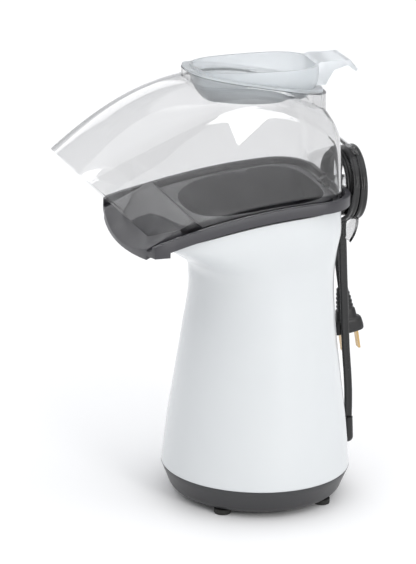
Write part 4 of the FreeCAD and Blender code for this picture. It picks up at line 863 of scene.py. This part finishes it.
    def hook_mesh(self) -> bpy.types.Mesh:
        """Closed plate of the cord hook, whose two horns lean back to the hood.

        Its side view runs down the outer face and up the inner one, in arcs given by their offsets.

        Returns:
            The plate, about the axis.
        """
        face, thick, half, top, foot = self.hook
        outline = (arc_through((face - 13, top), (face - 3.5, top - 7), (face, top - 20))
                   + arc_through((face, foot + 18), (face - 2, foot + 7), (face - 6, foot))
                   + arc_through((face - 7.5, foot + 1.5), (face - thick - 1.5, foot + 8),
                                 (face - thick, foot + 18))
                   + arc_through((face - thick, top - 20), (face - thick - 3.2, top - 9),
                                 (face - 13, top - thick)))
        return prism_mesh("hook_plate", outline, half)

    def post_mesh(self, steps: int = 64) -> bpy.types.Mesh:
        """Closed tube from the hood's back to the hook's plate.

        Args:
            steps: points round the tube.

        Returns:
            The tube, about the axis.
        """
        radius, height, wall = self.post
        shape = bmesh.new()
        near, far = self.post_start, self.hook[0] - 0.4 * self.hook[1]
        turns = [2 * math.pi * k / steps for k in range(steps)]
        rings = []
        for reach, y in ((radius, near), (radius, far), (radius - wall, far), (radius - wall, near)):
            places = [Vector((reach * math.cos(a), y, height + reach * math.sin(a))) for a in turns]
            rings.append([shape.verts.new(place * MM) for place in places])
        loft(shape, rings + rings[:1], closed=False)
        return mesh_of("hook_post", shape)

    def build(self) -> bpy.types.Object:
        """Joins skin, neck and hook, hollows them, and cuts foot, mouth and rim.

        Returns:
            The clear hood.
        """
        piece = new_piece("clear_hood", self.skin(0.0))
        combine(piece, self.neck_mesh(self.neck_levels), "UNION")
        combine(piece, self.post_mesh(), "UNION")
        combine(piece, self.hook_mesh(), "UNION")
        combine(piece, self.skin(self.wall), "DIFFERENCE")
        combine(piece, self.neck_mesh(self.bore_levels), "DIFFERENCE")
        foot = [(y, math.sqrt(self.foot_arc ** 2 - (y - self.arc_behind) ** 2) - self.arc_below)
                for y in range(*self.foot_reach)]
        below, back = 60.0, 52.5    # a height clear below the foot, and a place just past its last point
        foot = [(float(self.foot_reach[0]), below)] + foot + [(back, foot[-1][1]), (back, below)]
        combine(piece, prism_mesh("foot_cut", foot, 110), "DIFFERENCE")
        base, tip = (Vector(corner) for corner in self.mouth)
        way = (tip - base).normalized()
        low, high = base - way * 60, tip + way * 40
        combine(piece, prism_mesh("mouth_cut", [tuple(low), tuple(high), (high.x - 200, high.y),
                                                (low.x - 200, low.y)], 111), "DIFFERENCE")
        front, behind = -self.neck[0], self.neck[1]
        slope = (self.rim[1] - self.rim[0]) / (behind - front)
        ends = [(y, self.rim[0] + slope * (y - front)) for y in (front - 30, behind + 60)]
        above = [(behind + 60, 420), (front - 30, 420)]
        combine(piece, prism_mesh("rim_cut", ends + above, 112), "DIFFERENCE")
        piece.data.transform(Matrix.Translation((0, self.axis_y * MM, 0)))
        edges = piece.modifiers.new("edges", "BEVEL")
        edges.width = self.edge_round * MM
        edges.segments = 2
        edges.limit_method = "ANGLE"
        edges.angle_limit = math.radians(self.round_degrees)
        apply_modifiers(piece)
        sharpen(piece.data, self.sharp_degrees)
        piece.data.materials.clear()
        piece.data.materials.append(CLEAR_STYRENE.material())
        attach(piece, "cover")
        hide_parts("clear_cover")
        return piece


# ---------------------------------------------------------------------------------------------------
# Cord and plug
# ---------------------------------------------------------------------------------------------------
LEAD_ROUTE = (    # from the gland up the back of the housing to the coil
    (0.0, 0.075, 0.052), (0.0, 0.075, 0.066), (0.0018, 0.0731, 0.085), (0.0038, 0.0699, 0.108),
    (0.0045, 0.0682, 0.128), (0.0044, 0.0669, 0.150), (0.0040, 0.0654, 0.172), (0.0039, 0.0644, 0.192),
    (0.0032, 0.0628, 0.2117))
TAIL_ROUTE = (    # from the coil down to the plug
    (-0.0085, 0.0626, 0.2117), (-0.0089, 0.0641, 0.197), (-0.0078, 0.0653, 0.182),
    (-0.0070, 0.0670, 0.167), (-0.0070, 0.0691, 0.155))


@dataclass
class FlatCord:
    """Two-core flat cord: up from the gland, wound on the hook, and down to the plug.

    Args:
        axis_y: the housing's axis, from the middle of the object.
        width: across both cores.
        thick: one core.
        centre_z: centre of the winding.
        points: route points in one turn.
        start: direction, in degrees, in which the lead meets the winding.
        layers: turns wound so far, distance behind the axis, and radius of the middle line.
        stray: how far the turns stray outwards and along the post.
        groove_degrees: how far from the web each core's round face begins.
        sharp_degrees: the turn past which an edge shows as an edge.
    """

    axis_y: float = 0.0415
    width: float = 0.0064
    thick: float = 0.0032
    centre_z: float = 0.241
    points: int = 16
    start: float = -80.0
    layers: tuple[tuple[float, float, float], ...] = (
        (0.0, 0.0640, 0.0280), (0.55, 0.0652, 0.0276), (0.9, 0.0708, 0.0274), (1.55, 0.0712, 0.0276),
        (1.9, 0.0680, 0.0243), (2.55, 0.0676, 0.0240), (2.9, 0.0612, 0.0240), (3.5, 0.0606, 0.0243),
        (3.75, 0.0606, 0.0275), (3.94, 0.0620, 0.0284))
    stray: tuple[float, float] = (0.0004, 0.0003)
    groove_degrees: float = 52.0
    sharp_degrees: float = 50.0

    def layer(self, turn: float) -> tuple[float, float]:
        """Distance behind the axis and radius after so many turns.

        Args:
            turn: turns wound so far.

        Returns:
            That distance and that radius.
        """
        for low, high in zip(self.layers, self.layers[1:]):
            if turn <= high[0]:
                share = (turn - low[0]) / (high[0] - low[0])
                share = share * share * (3 - 2 * share)
                return low[1] + (high[1] - low[1]) * share, low[2] + (high[2] - low[2]) * share
        return self.layers[-1][1], self.layers[-1][2]

    def winding(self) -> list[tuple[float, float, float]]:
        """The coil's route: turns side by side and in two layers, laid a little loosely.

        Returns:
            Points across, behind the axis and up.
        """
        route = []
        for i in range(1, round(self.layers[-1][0] * self.points) + 1):
            turn = i / self.points
            angle = math.radians(self.start + 360 * turn)
            y, radius = self.layer(turn)
            radius += self.stray[0] * math.sin(2.3 * angle + 0.6)
            y += self.stray[1] * math.sin(1.7 * angle)
            route.append((radius * math.cos(angle), y, self.centre_z + radius * math.sin(angle)))
        return route

    def line(self) -> list[Vector]:
        """The cord's middle line, read from one smooth spline over its whole route.

        Returns:
            Points of the line.
        """
        route = list(LEAD_ROUTE) + self.winding() + list(TAIL_ROUTE)
        curve = bpy.data.curves.new("cord_route", "CURVE")
        curve.dimensions = "3D"
        curve.resolution_u = 10
        spline = curve.splines.new("NURBS")
        spline.points.add(len(route) - 1)
        for point, (x, y, z) in zip(spline.points, route):
            point.co = (x, y + self.axis_y, z, 1.0)
        spline.order_u = 3
        spline.use_endpoint_u = True
        carrier = bpy.data.objects.new("cord_route", curve)
        mesh = bpy.data.meshes.new_from_object(carrier)
        found = [v.co.copy() for v in mesh.vertices]
        bpy.data.objects.remove(carrier)
        bpy.data.curves.remove(curve)
        bpy.data.meshes.remove(mesh)
        return found

    def section(self, steps: int = 12) -> list[tuple[float, float]]:
        """Outline of two round cores side by side, with the web and its grooves between them.

        Args:
            steps: spans round each core.

        Returns:
            Its corners, along its width and its thickness.
        """
        radius, middle = self.thick / 2, (self.width - self.thick) / 2
        opening = math.radians(self.groove_degrees)
        outline = []
        for side in (1, -1):
            for i in range(steps + 1):
                angle = -math.pi + opening + (2 * math.pi - 2 * opening) * i / steps
                angle += 0.0 if side > 0 else math.pi
                outline.append((side * middle + radius * math.cos(angle), radius * math.sin(angle)))
        return outline

    def sweep(self, name: str, line: list[Vector], ways: list[Vector]) -> bpy.types.Object:
        """Sweeps the section along a line, its width kept along the hook's post.

        Args:
            name: the piece's name.
            line: points of the middle line.
            ways: direction of the cord at each.

        Returns:
            The piece of cord.
        """
        outline = self.section()
        shape = bmesh.new()
        rings = []
        for middle, way in zip(line, ways):
            wide = (Vector((0, 1, 0)) - way * way.y).normalized()
            flat = way.cross(wide)
            rings.append([shape.verts.new(middle + wide * a + flat * b) for a, b in outline])
        loft(shape, rings)
        piece = new_piece(name, mesh_of(name, shape))
        sharpen(piece.data, self.sharp_degrees)
        piece.data.materials.append(CORD_PVC.material())
        return piece

    def build(self, plug: bpy.types.Object) -> None:
        """Makes the lead, fixed where it lies, and the wound part with its tail, which rides on the
        cover.

        Args:
            plug: the moulded plug at the cord's end; not used.
        """
        line = self.line()
        ways = [(line[min(i + 1, len(line) - 1)] - line[max(i - 1, 0)]).normalized()
                for i in range(len(line))]
        rising = line[:12 * len(LEAD_ROUTE)]    # the lead and the start of the first turn
        top = max(i for i, p in enumerate(rising) if p.z <= LEAD_ROUTE[-1][2])
        parts = {"cord_lead_flat": (line[:top + 1], ways[:top + 1]),
                 "cord_wound_flat": (line[top:], ways[top:])}
        lead = self.sweep("cord_lead_flat", *parts["cord_lead_flat"])
        wound = self.sweep("cord_wound_flat", *parts["cord_wound_flat"])
        lengths = {name: sum((b - a).length for a, b in zip(part[0], part[0][1:]))
                   for name, part in parts.items()}
        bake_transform(lead)
        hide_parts("cord_lead")
        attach(wound, "cover")
        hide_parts("cord_coil", "cord_tail")
        for name, length in lengths.items():
            LOG.info("%s: %.4f m", name, length)


@dataclass
class Plug:
    """Flat moulded plug hanging from the cord, blades down, its face leaning out.

    Args:
        face: middle of its face, in the row frame.
        lean: degrees that the face leans away from the housing.
        stations: distance from the face, half width, half thickness, and how square the section is.
        steps: points round the section.
        sharp_degrees: the turn past which an edge shows as an edge.
    """

    face: tuple[float, float, float] = (-0.007, 0.1169, 0.119)
    lean: float = 10.0
    stations: tuple[tuple[float, float, float, float], ...] = (
        (0.0, 10.9, 4.9, 3.0), (0.35, 11.7, 5.6, 3.2), (1.4, 12.2, 6.1, 3.6), (4.0, 12.25, 6.15, 3.8),
        (8.6, 11.6, 6.1, 3.6), (10.2, 11.2, 5.9, 3.4), (10.8, 10.6, 5.4, 3.2), (11.3, 8.6, 4.9, 3.2),
        (12.0, 8.2, 4.8, 3.2), (18.0, 7.5, 4.7, 3.2), (18.7, 7.0, 4.4, 3.2), (19.1, 6.2, 4.0, 3.0),
        (19.9, 6.0, 3.9, 3.0), (20.6, 6.5, 4.3, 3.0), (21.8, 6.5, 4.3, 3.0), (22.4, 5.9, 3.8, 3.0),
        (23.4, 5.8, 3.7, 3.0), (24.0, 6.2, 4.1, 3.0), (25.2, 6.2, 4.1, 3.0), (25.8, 5.5, 3.6, 3.0),
        (26.8, 5.4, 3.5, 3.0), (27.4, 5.8, 3.9, 3.0), (28.6, 5.7, 3.8, 3.0), (29.2, 5.1, 3.3, 3.0),
        (30.2, 5.0, 3.2, 3.0), (30.8, 5.3, 3.5, 3.0), (32.0, 5.2, 3.4, 3.0), (32.6, 4.7, 3.0, 3.0),
        (34.0, 4.6, 2.9, 3.0), (35.6, 4.5, 2.8, 3.0), (36.4, 4.0, 2.3, 2.6))
    steps: int = 48
    sharp_degrees: float = 48.0

    def build(self) -> bpy.types.Object:
        """Lofts the plug through its stations and closes both ends.

        Returns:
            The moulded plug.
        """
        shape = bmesh.new()
        turn = Matrix.Rotation(math.radians(self.lean), 4, "X")
        rings = []
        for up, wide, thick, power in self.stations:
            ring = []
            for k in range(self.steps):
                angle = 2 * math.pi * k / self.steps
                x, y = math.cos(angle), math.sin(angle)
                radius = ((abs(y) / wide) ** power + (abs(x) / thick) ** power) ** (-1 / power)
                place = turn @ Vector((x * radius * MM, y * radius * MM, up * MM))
                ring.append(shape.verts.new(place + Vector(self.face)))
            rings.append(ring)
        loft(shape, rings)
        piece = new_piece("moulded_plug", mesh_of("moulded_plug", shape))
        sharpen(piece.data, self.sharp_degrees)
        piece.data.materials.append(MOULDED_PVC.material())
        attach(piece, "cover")
        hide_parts("plug_body")
        return piece


# ---------------------------------------------------------------------------------------------------
# Repeats, by Geometry Nodes
# ---------------------------------------------------------------------------------------------------
def named_inputs(tree: bpy.types.NodeTree, sockets: dict[str, str]) -> dict[str, bpy.types.NodeSocket]:
    """Gives a geometry tree its named inputs and its output.

    Args:
        tree: the new tree.
        sockets: socket types by input name.

    Returns:
        The sockets inside the tree, by name.
    """
    for name, kind in sockets.items():
        tree.interface.new_socket(name, in_out="INPUT", socket_type=kind)
    tree.interface.new_socket("Geometry", in_out="OUTPUT", socket_type="NodeSocketGeometry")
    group = add_node(tree, "NodeGroupInput")
    return {name: group.outputs[name] for name in sockets}


def close_tree(tree: bpy.types.NodeTree, geometry: bpy.types.NodeSocket,
               material: bpy.types.NodeSocket) -> bpy.types.NodeTree:
    """Ends a tree in real geometry that carries its material.

    Args:
        tree: the tree.
        geometry: socket with its geometry.
        material: socket with its material.

    Returns:
        The tree.
    """
    real = add_node(tree, "GeometryNodeRealizeInstances", {}, {0: geometry})
    dressed = add_node(tree, "GeometryNodeSetMaterial", {}, {
        "Geometry": real.outputs[0], "Material": material})
    add_node(tree, "NodeGroupOutput", {}, {0: dressed.outputs[0]})
    return tree


def run_tree(piece: bpy.types.Object, tree: bpy.types.NodeTree,
             values: dict[str, object]) -> bpy.types.Object:
    """Runs a tree on a piece with its inputs set, and keeps the plain mesh.

    Args:
        piece: the piece.
        tree: the tree.
        values: values by the names of the tree's inputs.

    Returns:
        The same piece.
    """
    step = piece.modifiers.new(tree.name, "NODES")
    step.node_group = tree
    for item in tree.interface.items_tree:
        if item.item_type == "SOCKET" and item.in_out == "INPUT" and item.name in values:
            step[item.identifier] = values[item.name]
    return apply_modifiers(piece)


def ring_tree() -> bpy.types.NodeTree:
    """Tree that repeats a mesh evenly round the upright axis, each copy turned to face outwards.

    Returns:
        The tree.
    """
    tree = bpy.data.node_groups.new("ring_of_pieces", "GeometryNodeTree")
    inputs = named_inputs(tree, {"Geometry": "NodeSocketGeometry", "Count": "NodeSocketInt",
                                 "Radius": "NodeSocketFloat", "First": "NodeSocketFloat",
                                 "Place": "NodeSocketVector", "Material": "NodeSocketMaterial"})
    index = add_node(tree, "GeometryNodeInputIndex").outputs[0]
    step = add_node(tree, "ShaderNodeMath", {"operation": "DIVIDE"}, {0: math.tau, 1: inputs["Count"]})
    turn = add_node(tree, "ShaderNodeMath", {"operation": "MULTIPLY_ADD"}, {
        0: index, 1: step.outputs[0], 2: inputs["First"]}).outputs[0]
    across = add_node(tree, "ShaderNodeMath", {"operation": "COSINE"}, {0: turn}).outputs[0]
    along = add_node(tree, "ShaderNodeMath", {"operation": "SINE"}, {0: turn}).outputs[0]
    way = add_node(tree, "ShaderNodeCombineXYZ", {}, {0: across, 1: along}).outputs[0]
    place = add_node(tree, "ShaderNodeVectorMath", {"operation": "MULTIPLY_ADD"}, {
        0: way, 1: inputs["Radius"], 2: inputs["Place"]}).outputs[0]
    points = add_node(tree, "GeometryNodePoints", {}, {
        "Count": inputs["Count"], "Position": place}).outputs[0]
    facing = add_node(tree, "ShaderNodeCombineXYZ", {}, {2: turn}).outputs[0]
    copies = add_node(tree, "GeometryNodeInstanceOnPoints", {}, {
        "Points": points, "Instance": inputs["Geometry"], "Rotation": facing}).outputs[0]
    return close_tree(tree, copies, inputs["Material"])


def wire_tree() -> bpy.types.NodeTree:
    """Tree that winds a fine coil of wire along each of several rings stacked on the upright axis.

    Returns:
        The tree.
    """
    tree = bpy.data.node_groups.new("coiled_heating_wire", "GeometryNodeTree")
    inputs = named_inputs(tree, {
        "Geometry": "NodeSocketGeometry", "Rings": "NodeSocketInt", "Ring radius": "NodeSocketFloat",
        "Coil radius": "NodeSocketFloat", "Wire radius": "NodeSocketFloat", "Points": "NodeSocketInt",
        "Points in a coil": "NodeSocketFloat", "Start": "NodeSocketVector", "Step": "NodeSocketVector",
        "Material": "NodeSocketMaterial"})
    ring = add_node(tree, "GeometryNodeCurvePrimitiveCircle", {}, {
        "Resolution": inputs["Points"], "Radius": inputs["Ring radius"]}).outputs[0]
    index = add_node(tree, "GeometryNodeInputIndex").outputs[0]
    share = add_node(tree, "ShaderNodeMath", {"operation": "DIVIDE"}, {
        0: index, 1: inputs["Points in a coil"]}).outputs[0]
    turn = add_node(tree, "ShaderNodeMath", {"operation": "MULTIPLY"}, {
        0: share, 1: math.tau}).outputs[0]
    out = add_node(tree, "ShaderNodeMath", {"operation": "COSINE"}, {0: turn}).outputs[0]
    up = add_node(tree, "ShaderNodeMath", {"operation": "SINE"}, {0: turn}).outputs[0]
    where = add_node(tree, "GeometryNodeInputPosition").outputs[0]
    radial = add_node(tree, "ShaderNodeVectorMath", {"operation": "NORMALIZE"}, {0: where}).outputs[0]
    outwards = add_node(tree, "ShaderNodeVectorMath", {"operation": "SCALE"}, {
        0: radial, "Scale": out}).outputs[0]
    upwards = add_node(tree, "ShaderNodeCombineXYZ", {}, {2: up}).outputs[0]
    both = add_node(tree, "ShaderNodeVectorMath", {"operation": "ADD"}, {
        0: outwards, 1: upwards}).outputs[0]
    shift = add_node(tree, "ShaderNodeVectorMath", {"operation": "SCALE"}, {
        0: both, "Scale": inputs["Coil radius"]}).outputs[0]
    coiled = add_node(tree, "GeometryNodeSetPosition", {}, {
        "Geometry": ring, "Offset": shift}).outputs[0]
    round_wire = add_node(tree, "GeometryNodeCurvePrimitiveCircle", {}, {
        "Resolution": WIRE_SIDES, "Radius": inputs["Wire radius"]}).outputs[0]
    wire = add_node(tree, "GeometryNodeCurveToMesh", {}, {
        "Curve": coiled, "Profile Curve": round_wire}).outputs[0]
    line = add_node(tree, "GeometryNodeMeshLine", {}, {
        "Count": inputs["Rings"], "Start Location": inputs["Start"],
        "Offset": inputs["Step"]}).outputs[0]
    copies = add_node(tree, "GeometryNodeInstanceOnPoints", {}, {
        "Points": line, "Instance": wire}).outputs[0]
    return close_tree(tree, copies, inputs["Material"])


@dataclass
class ScrewRing:
    """Cross-head screws, head down, in a ring round the housing's axis.

    Args:
        node: the CAD node that the ring replaces.
        circle: radius of the ring, in mm like the sizes below.
        head_base: height of the heads' faces.
        top: height of the shanks' ends.
        head: radius of a head.
        head_height: height of a head.
        shank: radius of a shank.
        thread: step of its grooves.
        count: number of screws.
        first: direction of the first, in degrees.
        arm: half width of the cross's arms.
        arm_reach: length of an arm, as a share of the head's radius.
        recess_depth: depth of the cross.
        sharp_degrees: the turn past which an edge shows as an edge.
    """

    node: str
    circle: float
    head_base: float
    top: float
    head: float = 3.6
    head_height: float = 2.4
    shank: float = 1.5
    thread: float = 1.1
    count: int = 3
    first: float = 30.0
    arm: float = 0.45
    arm_reach: float = 0.62
    recess_depth: float = 1.3
    sharp_degrees: float = 35.0

    def screw(self, steps: int = 24) -> bpy.types.Mesh:
        """One screw: a domed head with a cross cut into it, and a grooved shank.

        Args:
            steps: points round it.

        Returns:
            Its mesh, head down, about its own axis.
        """
        profile = [(0.0, 0.0), (self.head * 0.6, 0.12), (self.head * 0.88, 0.45), (self.head, 1.1),
                   (self.head, self.head_height), (self.shank, self.head_height)]
        height, length = self.head_height, self.top - self.head_base
        while height + self.thread < length - 0.4:
            profile += [(self.shank * 0.8, height + 0.3 * self.thread),
                        (self.shank, height + 0.6 * self.thread)]
            height += self.thread
        profile += [(self.shank * 0.7, length - 0.3), (0.0, length)]
        shape = bmesh.new()
        turns = [math.tau * k / steps for k in range(steps)]
        loft(shape, [[shape.verts.new(Vector((r * math.cos(a), r * math.sin(a), z)) * MM) for a in turns]
                     for r, z in profile], closed=False)
        bmesh.ops.remove_doubles(shape, verts=shape.verts[:], dist=MERGE_GAP)
        bmesh.ops.dissolve_degenerate(shape, dist=MERGE_GAP / 10, edges=shape.edges[:])
        screw = new_piece("screw", mesh_of("screw", shape))
        arm, reach = self.arm, self.head * self.arm_reach
        cross = [(-arm, -reach), (arm, -reach), (arm, -arm), (reach, -arm), (reach, arm), (arm, arm),
                 (arm, reach), (-arm, reach), (-arm, arm), (-reach, arm), (-reach, -arm), (-arm, -arm)]
        recess = bmesh.new()
        low = [recess.verts.new(Vector((x, y, -1)) * MM) for x, y in cross]
        high = [recess.verts.new(Vector((x * 0.7, y * 0.7, self.recess_depth)) * MM) for x, y in cross]
        loft(recess, [low, high])
        combine(screw, mesh_of("cross", recess), "DIFFERENCE")
        mesh = screw.data
        bpy.data.objects.remove(screw)
        return mesh

    def build(self, tree: bpy.types.NodeTree, axis_y: float) -> bpy.types.Object:
        """Repeats the screw round the axis and puts the ring in place of its CAD node.

        Args:
            tree: the tree that repeats a mesh in a ring.
            axis_y: the housing's axis, in metres.

        Returns:
            The ring of screws.
        """
        piece = new_piece(f"{self.node}_ring", self.screw())
        run_tree(piece, tree, {
            "Count": self.count, "Radius": self.circle * MM, "First": math.radians(self.first),
            "Place": (0.0, axis_y, self.head_base * MM), "Material": ZINC_STEEL.material()})
        sharpen(piece.data, self.sharp_degrees)
        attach(piece, "root")
        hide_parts(self.node)
        return piece


@dataclass
class HeatingWire:
    """Six rings of finely coiled resistance wire, held in the notches of the mica cross.

    Args:
        rings: number of rings.
        ring_radius: middle of the coiled wire, in mm like the sizes below.
        coil_radius: middle of the wire within its coil.
        wire_radius: the wire itself.
        base: height of the lowest ring.
        step: height from ring to ring.
        coils: coils in a ring.
        points: points in one coil.
    """

    rings: int = 6
    ring_radius: float = 27.0
    coil_radius: float = 0.66
    wire_radius: float = 0.2
    base: float = 84.0
    step: float = 6.0
    coils: int = 84
    points: int = 8

    def build(self, axis_y: float) -> bpy.types.Object:
        """Winds the wire and puts it in place of its CAD node.

        Args:
            axis_y: the housing's axis, in metres.

        Returns:
            The heating wire.
        """
        piece = new_piece("coiled_wire", bpy.data.meshes.new("coiled_wire"))
        run_tree(piece, wire_tree(), {
            "Rings": self.rings, "Ring radius": self.ring_radius * MM,
            "Coil radius": self.coil_radius * MM, "Wire radius": self.wire_radius * MM,
            "Points": self.coils * self.points,
            "Points in a coil": float(self.points), "Start": (0.0, axis_y, self.base * MM),
            "Step": (0.0, 0.0, self.step * MM), "Material": NICHROME.material()})
        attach(piece, "root")
        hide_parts("heater_coil")
        return piece


# ---------------------------------------------------------------------------------------------------
# Studio
# ---------------------------------------------------------------------------------------------------
@dataclass
class Studio:
    """White table, white surroundings, large soft lights and the camera.

    Args:
        azimuth: degrees round the object; 0 looks along +Y, and 90 along -X.
        elevation: degrees above the table.
        distance: camera to the middle of the object.
        lens: focal length in mm over a 36 mm sensor.
        roll: degrees that the camera leans.
        target: what it looks at.
        room: strength of the surroundings' light.
        room_colours: sRGB hex of the surroundings, and of their darker side towards +X.
        room_fade: where that side begins and ends, as shares of the way to +X.
        overhead: direction of the wide overhead light, and its strength.
        softboxes: name, place, width and height, power, and tilt of each.
    """

    azimuth: float = 71.009
    elevation: float = 18.21
    distance: float = 3.0074
    lens: float = 255.32
    roll: float = 1.4146
    target: tuple[float, float, float] = (0.0, 0.0, 0.1704)
    room: float = 0.84
    room_colours: tuple[str, str] = ("#F8F9FC", "#A3A2A1")
    room_fade: tuple[float, float] = (0.35, 0.85)
    overhead: tuple[tuple[float, float, float], float] = ((0.5, 0.0, 1.0), 1.15)
    softboxes: tuple[tuple, ...] = (
        ("side_softbox", (1.9, 0.5, 1.1), (0.6, 0.5), 4.0, 0.0),
        ("low_softbox", (1.1, 0.33, 0.385), (0.26, 0.5), 2.6, 33.0),
        ("far_softbox", (-1.8, -0.15, 1.15), (1.0, 0.8), 3.0, 0.0))

    def camera(self) -> None:
        """Places the camera."""
        a, e, lean = (math.radians(v) for v in (self.azimuth, self.elevation, self.roll))
        back = Vector((math.sin(a) * math.cos(e), -math.cos(a) * math.cos(e), math.sin(e)))
        right = Vector((math.cos(a), math.sin(a), 0))
        up = back.cross(right)
        tilted = right * math.cos(lean) + up * math.sin(lean)
        data = bpy.data.cameras.new("camera")
        data.lens = self.lens
        data.sensor_width = 36
        data.clip_end = 50
        seen = bpy.data.objects.new("camera", data)
        turned = Matrix((tilted, back.cross(tilted), back)).transposed().to_4x4()
        seen.matrix_world = Matrix.Translation(Vector(self.target) + back * self.distance) @ turned
        bpy.context.scene.collection.objects.link(seen)
        bpy.context.scene.camera = seen

    def softbox(self, name: str, place: tuple[float, float, float], size: tuple[float, float],
                power: float, tilt: float) -> None:
        """Adds one softbox that faces the object, turned about its own middle by a tilt.

        Args:
            name: the light's name.
            place: where its middle is.
            size: width and height.
            power: watts.
            tilt: degrees.
        """
        data = bpy.data.lights.new(name, "AREA")
        data.shape = "RECTANGLE"
        data.size, data.size_y = size
        data.energy = power
        lamp = bpy.data.objects.new(name, data)
        lamp.location = place
        facing = (Vector(place) - Vector(self.target)).to_track_quat("Z", "Y").to_matrix()
        lamp.rotation_euler = (facing @ Matrix.Rotation(math.radians(tilt), 3, "Z")).to_euler()
        bpy.context.scene.collection.objects.link(lamp)

    def daylight(self, towards: tuple[float, float, float], strength: float) -> None:
        """Adds the wide overhead light, which reaches the whole table evenly.

        Args:
            towards: the way to the light.
            strength: its strength.
        """
        data = bpy.data.lights.new("overhead_light", "SUN")
        data.energy = strength
        data.angle = math.radians(80)
        lamp = bpy.data.objects.new("overhead_light", data)
        lamp.rotation_euler = Vector(towards).to_track_quat("Z", "Y").to_euler()
        bpy.context.scene.collection.objects.link(lamp)

    def build(self) -> None:
        """Makes the table, the surroundings, the lights and the camera."""
        scene = bpy.context.scene
        scene.view_settings.view_transform = "Standard"
        world = bpy.data.worlds.new("white_room")
        scene.world = world
        world.use_nodes = True
        tree = world.node_tree
        room = tree.nodes["Background"]
        room.inputs["Strength"].default_value = self.room
        way = add_node(tree, "ShaderNodeTexCoord").outputs["Generated"]
        towards = add_node(tree, "ShaderNodeSeparateXYZ", {}, {0: way}).outputs["X"]
        shade = add_node(tree, "ShaderNodeMapRange", {"interpolation_type": "SMOOTHSTEP"}, {
            "Value": towards, "From Min": self.room_fade[0],
            "From Max": self.room_fade[1]}).outputs["Result"]
        mixed = add_node(tree, "ShaderNodeMix", {"data_type": "RGBA"}, {
            0: shade, 6: linear(self.room_colours[0]), 7: linear(self.room_colours[1])}).outputs[2]
        tree.links.new(mixed, room.inputs["Color"])
        shape = bmesh.new()
        bmesh.ops.create_grid(shape, x_segments=1, y_segments=1, size=30)
        floor = new_piece("table_top", mesh_of("table_top", shape, outwards=False))
        made = bpy.data.materials.new("white_laminate")
        made.use_nodes = True
        shader = made.node_tree.nodes["Principled BSDF"]
        shader.inputs["Base Color"].default_value = linear("#FAFAFA")
        shader.inputs["Roughness"].default_value = 0.6
        floor.data.materials.append(made)
        self.daylight(*self.overhead)
        for softbox in self.softboxes:
            self.softbox(*softbox)
        self.camera()


# ---------------------------------------------------------------------------------------------------
# The whole object
# ---------------------------------------------------------------------------------------------------
INNER_FINISHES = {
    "fan_housing": GLASS_NYLON,
    "motor_bracket": ZINC_STEEL, "bracket_screws": ZINC_STEEL, "motor_screws": ZINC_STEEL,
    "motor_can": ZINC_STEEL, "motor_magnets": MOTOR_IRON, "upper_bearing": BRONZE,
    "lower_bearing": BRONZE, "motor_end_cap": GLASS_NYLON, "carbon_brushes": MOTOR_IRON,
    "motor_shaft": ZINC_STEEL, "armature_core": MOTOR_IRON, "lower_winding": ENAMELLED_COPPER,
    "upper_winding": ENAMELLED_COPPER, "commutator": ENAMELLED_COPPER, "fan_impeller": NATURAL_PP,
    "rectifier_board": PHENOLIC, "rectifier_diodes": GLASS_NYLON, "heater_frame": PRESSED_MICA,
    "air_duct": ZINC_STEEL, "popping_chamber": SPUN_ALUMINIUM,
    "chamber_gasket": SILICONE, "thermostat": ZINC_STEEL, "thermal_fuse": ZINC_STEEL,
    "wire_connectors": NATURAL_PP, "cord_gland": MOULDED_PVC, "plug_blades": BLADE_BRASS,
    "rubber_foot_1": FOOT_RUBBER, "rubber_foot_2": FOOT_RUBBER, "rubber_foot_3": FOOT_RUBBER,
    "rubber_foot_4": FOOT_RUBBER}


def dress_inner_works() -> None:
    """Gives every CAD piece that stays its own finish."""
    for name, finish in INNER_FINISHES.items():
        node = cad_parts[name]
        for place in node.material_slots:
            place.material = finish.material()
        LOG.info("%s: %s", name, finish.name)


def report(piece: bpy.types.Object) -> None:
    """Logs a finished piece."""
    LOG.info("%s: %d faces", piece.name, len(piece.data.polygons))


def main() -> None:
    """Builds every piece around the frame and reports it."""
    logging.basicConfig(level=logging.INFO, format="%(name)s: %(message)s")
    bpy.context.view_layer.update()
    Studio().build()
    plug = Plug().build()
    report(plug)
    FlatCord().build(plug)
    shells = (
        CadShell("base_cover", "root", "dark_base", BASE_ABS, 0.4),
        CadShell("chute_tray", "root", "dark_tray", CHARCOAL_ABS, 0.5),
        CadShell("measuring_cup", "cup", "cup", MILKY_PP, 0.0, 40.0))
    housing = OuterHousing()
    for part in (*shells, housing, ClearHood()):
        report(part.build())
    ring = ring_tree()
    axis_y = housing.axis_y * MM
    for screws in (ScrewRing("base_screws", 54.5, 21.6, 42.0),
                   ScrewRing("fan_housing_screws", 56.0, 67.0, 81.4)):
        report(screws.build(ring, axis_y))
    report(HeatingWire().build(axis_y))
    dress_inner_works()


if __name__ == "__main__":
    main()
